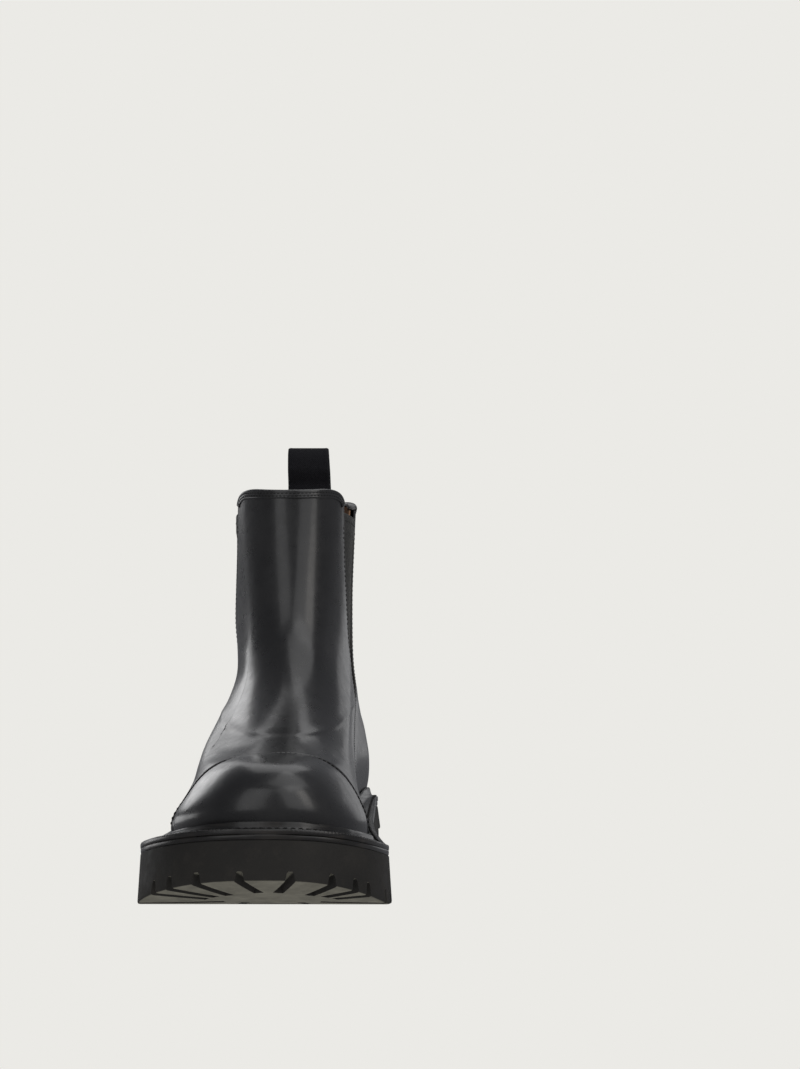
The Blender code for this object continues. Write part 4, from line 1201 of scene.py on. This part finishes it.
def plate(name, ring, profile, look, body=None):
    """A layer inside a ring: profile holds (inset, height function) from its underside to its top."""
    count = len(ring)
    rows = []
    for inset, height in profile:
        plan = drawn_in(ring, inset)
        rows.append(np.column_stack([plan, height(np.clip(plan[:, 1], TOE_TIP_Y, HEEL_END_Y))]))
    points = np.stack(rows)
    index = np.arange(points.shape[0] * count).reshape(-1, count)
    sides = grid_faces(len(profile), count)
    half = count // 2
    left, right = np.arange(half), count - 1 - np.arange(half)
    across = np.stack([left[:-1], left[1:], right[1:], right[:-1]], axis=-1)
    front = np.stack([index[:-1, 0], index[:-1, -1], index[1:, -1], index[1:, 0]], axis=-1)
    faces = [sides, (across + index[0, 0]).tolist(), (across[:, ::-1] + index[-1, 0]).tolist()]
    return mesh_object(name, placed(points), faces + [front.tolist()], look, body)


def seat(y):
    """The outsole's top face, on which the midsole lies."""
    return bed(y) - WELT - MIDSOLE - GAP


def midsole_top(y):
    return bed(y) - WELT - 0.02


def level_with(height):
    return lambda y: 0 * y + height


def over_bed(height):
    return lambda y: bed(y) + height


def outsole_bottom(y):
    """The outsole's underside: tread under the forepart, then up into the arch and over the heel block."""
    over_block = bed(y) - WELT - MIDSOLE - OUTSOLE_HEEL
    rise = smooth((y - 12.0) / 26.0)
    return ground_profile(y) * (1 - rise) + over_block * rise


def between(low, high, drop_low, drop_high, share):
    """Height function at a share between two others, which are first brought together by the two drops."""
    return lambda y: (low(y) + drop_low) * (1 - share) + (high(y) - drop_high) * share


def moulded(low, high, top_inset, flare):
    """Profile of a rubber layer: rounded lower and upper edges and a wall that spreads downwards."""
    base = top_inset - flare
    wall = [(base + flare * t, between(low, high, 1.2, 0.6, t)) for t in (0.0, 0.33, 0.66, 1.0)]
    lower = [(base + 1.3, between(low, high, 0, 0, 0)), (base + 0.45, between(low, high, 0.12, 0, 0))]
    lower.append((base + 0.12, between(low, high, 0.5, 0, 0)))
    drops = ((0.12, 0.25), (0.4, 0.05), (1.0, 0))
    upper = [(top_inset + inset, between(low, high, 0, drop, 1)) for inset, drop in drops]
    return lower + wall + upper


def groove(x, y, length, width, angle, depth=TREAD_DEPTH):
    """A V-sided cutter in the tread, centred on (x, y), running along angle (degrees from +X)."""
    turn = math.radians(angle)
    s = np.linspace(-0.5, 0.5, 9)
    section = ((-0.7, -4.0), (0.7, -4.0), (0.34, 0.82 * depth), (0.2, depth))
    section += ((-0.2, depth), (-0.34, 0.82 * depth))
    rings = []
    for t in s:
        ring = []
        for wide, z in section:
            run, off = t * length, wide * width
            here_x = x + run * math.cos(turn) - off * math.sin(turn)
            here_y = y + run * math.sin(turn) + off * math.cos(turn)
            ring.append((here_x, here_y, float(ground_profile(here_y)) + z))
        rings.append(ring)
    return loft("cutter", rings, (RUBBER[0], None))


def forepart_grooves():
    """Radial at the toe, across the sides, and a broken channel each side of the centre."""
    cutters = []
    for side in (-1, 1):
        for x, y, angle in ((8.6, -146, 18), (25, -138.8, 30), (35, -131.9, 48), (41.4, -124, 62)):
            cutters.append(groove(side * x, y, 28, 4.6, 90 + side * angle, 3.9 + 0.055 * x))
        for k in range(7):
            y = -106 + 18.5 * k
            rim = float(plan_x(SOLE_PLAN, (y - TOE_TIP_Y) / SOLE_LENGTH, float(side)))
            cutters.append(groove(0.5 * rim + side * 14, y + 3, abs(rim) - 15, 4.6, side * 12))
        for k in range(6):
            cutters.append(groove(side * 15, -96 + 18.5 * k, 17, 3.6, 90 + side * (16 if k % 2 else -16)))
    return cutters + [groove(-1, -96 + 18.5 * k, 22, 3.2, 0) for k in range(6)]


def heel_grooves():
    cutters = [groove(0, 68.5 + 19 * k, 20, 3.2, 0) for k in range(3)]
    cutters += [groove(-12, 151, 26, 4.6, 80), groove(12, 151, 26, 4.6, 100)]
    for side in (-1, 1):
        cutters += [groove(side * 33, 68 + 19 * k, 30, 4.6, side * 10) for k in range(4)]
        for k in range(3):
            cutters.append(groove(side * 13, 78 + 19 * k, 17, 3.6, 90 + side * (14 if k % 2 else -14)))
    return cutters


def carved(piece, cutters):
    """Cuts the grooves out of a piece one by one and softens the new edges."""
    for cutter in cutters:
        cut = piece.modifiers.new("groove", "BOOLEAN")
        cut.operation, cut.object, cut.solver = "DIFFERENCE", cutter, "EXACT"
    soften = piece.modifiers.new("soften", "BEVEL")
    soften.width, soften.segments, soften.limit_method = 0.45 * MM, 2, "ANGLE"
    soften.angle_limit = math.radians(38)
    graph = bpy.context.evaluated_depsgraph_get()
    final = bpy.data.meshes.new_from_object(piece.evaluated_get(graph))
    piece.modifiers.clear()
    piece.data = final
    for cutter in cutters:
        bpy.data.objects.remove(cutter)
    cleaned(piece)
    final.shade_smooth()
    final.set_sharp_from_angle(angle=math.radians(50))
    return piece


whole = sole_ring(stations(TOE_TIP_Y + 0.02, HEEL_END_Y - 0.02, 300))
block = sole_ring(stations(HEEL_BREAST_Y, HEEL_END_Y - 0.02, 130))
outsole = plate("outsole", whole, moulded(outsole_bottom, seat, 0.65, SOLE_FLARE), RUBBER, "boot")
carved(outsole, forepart_grooves())
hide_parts("outsole")
lift_profile = moulded(level_with(HEEL_TOP_LIFT), outsole_bottom, 0.2, 0.6)
lift = plate("heel_lift", block, lift_profile, RUBBER, "boot")
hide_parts("heel_lift")
top_lift_profile = moulded(level_with(0.0), level_with(HEEL_TOP_LIFT), -0.35, 0.3)
top_lift = plate("heel_top_lift", block, top_lift_profile, RUBBER, "boot")
carved(top_lift, heel_grooves())
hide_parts("heel_top_lift")

# Each point of the midsole's edge: inset, the drops from the lower and the upper face, and the share between.
MIDSOLE_EDGE = [(2.0, 0, 0, 0), (1.0, 0.08, 0, 0)]
MIDSOLE_EDGE += [(0.74 + 0.1 * (2 * t - 1) ** 2, 0.3, 0.05, t) for t in (0, 0.3, 0.6, 1)]
MIDSOLE_EDGE += [(0.95, 0, 0, 1), (2.0, 0, 0, 1)]
midsole_profile = [(inset, between(seat, midsole_top, *rest)) for inset, *rest in MIDSOLE_EDGE]
midsole = plate("midsole", whole, midsole_profile, EDGE, "boot")
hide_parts("midsole")


def last_ring(count):
    """The feather line's plan, from the lateral toe round the heel to the medial toe."""
    turns = np.linspace(0.03, math.pi - 0.03, count)
    return np.concatenate([last_point(-turns, 0.0)[:, :2], last_point(turns, 0.0)[::-1, :2]])


LINER_EDGE = ((5.6, 3.1), (5.0, 3.3), (4.9, 3.9), (5.1, 4.6), (5.8, 4.95), (8.0, 4.9), (13.0, 4.7))
LINER_EDGE += ((19.0, 4.6),)
liner_profile = [(inset, over_bed(height)) for inset, height in LINER_EDGE]
liner = plate("sock_liner", last_ring(170), liner_profile, LINING, "boot")
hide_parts("sock_liner")

# ---------------------------------------------------------------- what is hidden inside keeps its CAD shape

INSIDE = {
    "insole_board": board(),
    "cork_filler": cork(),
    "shank": steel(),
    "toe_puff": stiffener(),
    "heel_counter": stiffener(),
}
for name, node in frame["nodes"].items():
    if name.startswith("heel_screw"):
        INSIDE[name] = INSIDE["shank"]
    if name in INSIDE:
        node.data.materials.clear()
        node.data.materials.append(INSIDE[name])

# ---------------------------------------------------------------- light, floor and camera

BACKDROP = (0.831, 0.823, 0.791)
TARGET = Vector((0.0, 0.0, 0.11))


def softbox(name, azimuth, elevation, distance, width, height, radiance, colour=(1.0, 1.0, 1.0)):
    """A soft light that faces the boot; azimuth 0 is the side of the toe and 90 the medial side."""
    turn, tilt = math.radians(azimuth), math.radians(elevation)
    lamp = bpy.data.lights.new(name, "AREA")
    lamp.shape, lamp.size, lamp.size_y = "RECTANGLE", width, height
    lamp.energy, lamp.color = radiance * math.pi * width * height, colour
    made = bpy.data.objects.new(name, lamp)
    way = Vector((math.sin(turn) * math.cos(tilt), -math.cos(turn) * math.cos(tilt), math.sin(tilt)))
    made.location = TARGET + way * distance
    made.rotation_euler = way.to_track_quat("Z", "Y").to_euler()
    made.visible_camera = False
    bpy.context.scene.collection.objects.link(made)


# Each light: azimuth and elevation in degrees, then distance, width and height in metres, and radiance.
softbox("left window", -150, 22, 1.7, 0.95, 0.66, 0.85)
softbox("left window toe", -140, 22, 0.8, 0.34, 0.3, 1.3)
softbox("left low", -114, -4, 0.58, 0.5, 0.12, 1.4)
softbox("left front", -25, 26, 2.0, 1.05, 2.2, 0.75)
softbox("right front", 46, 32, 2.0, 2.2, 2.3, 0.72)
softbox("right front lamp", 66, 28, 1.8, 0.6, 1.2, 1.0, (1.0, 0.95, 0.88))
softbox("right rim", 157, 8, 1.6, 0.7, 0.45, 0.4)
softbox("overhead", 70, 70, 1.6, 1.5, 1.2, 0.85)
softbox("back high", 178, 55, 1.7, 1.0, 1.25, 0.75)


def backdrop():
    """A pale floor that is evenly lit from all sides."""
    far = 6.0
    corners = [(-far, -far, 0), (far, -far, 0), (far, far, 0), (-far, far, 0)]
    look = bpy.data.materials.new("floor")
    look.use_nodes = True
    sockets = look.node_tree.nodes["Principled BSDF"].inputs
    black, pale = (0.0, 0.0, 0.0, 1.0), (*BACKDROP, 1.0)
    plain = (("Base Color", black), ("Roughness", 1.0), ("Specular IOR Level", 0.0))
    for socket, value in (*plain, ("Emission Color", pale), ("Emission Strength", 1.0)):
        sockets[socket].default_value = value
    data = bpy.data.meshes.new("floor")
    data.from_pydata(corners, [], [(0, 1, 2, 3)])
    data.materials.append(look)
    floor = bpy.data.objects.new("floor", data)
    floor.location.z = -0.0006
    floor.visible_glossy = False
    bpy.context.scene.collection.objects.link(floor)


backdrop()

world = bpy.data.worlds.new("studio")
bpy.context.scene.world = world
world.use_nodes = True
tree = world.node_tree
dim = tree.nodes["Background"]
dim.inputs["Color"].default_value = (0.12, 0.122, 0.13, 1.0)
pale = tree.nodes.new("ShaderNodeBackground")
pale.inputs["Color"].default_value = (*BACKDROP, 1.0)
seen = tree.nodes.new("ShaderNodeLightPath")
choose = tree.nodes.new("ShaderNodeMixShader")
tree.links.new(seen.outputs["Is Camera Ray"], choose.inputs[0])
tree.links.new(dim.outputs[0], choose.inputs[1])
tree.links.new(pale.outputs[0], choose.inputs[2])
tree.links.new(choose.outputs[0], tree.nodes["World Output"].inputs["Surface"])

lens = bpy.data.cameras.new("camera")
lens.lens, lens.sensor_width = 128.0, 36.0
camera = bpy.data.objects.new("camera", lens)
camera.location = (0.137, -1.851, 0.048)
camera.rotation_euler = (math.radians(94.0), 0.0, math.radians(2.4))
bpy.context.scene.collection.objects.link(camera)
bpy.context.scene.camera = camera
bpy.context.scene.view_settings.view_transform = "Standard"
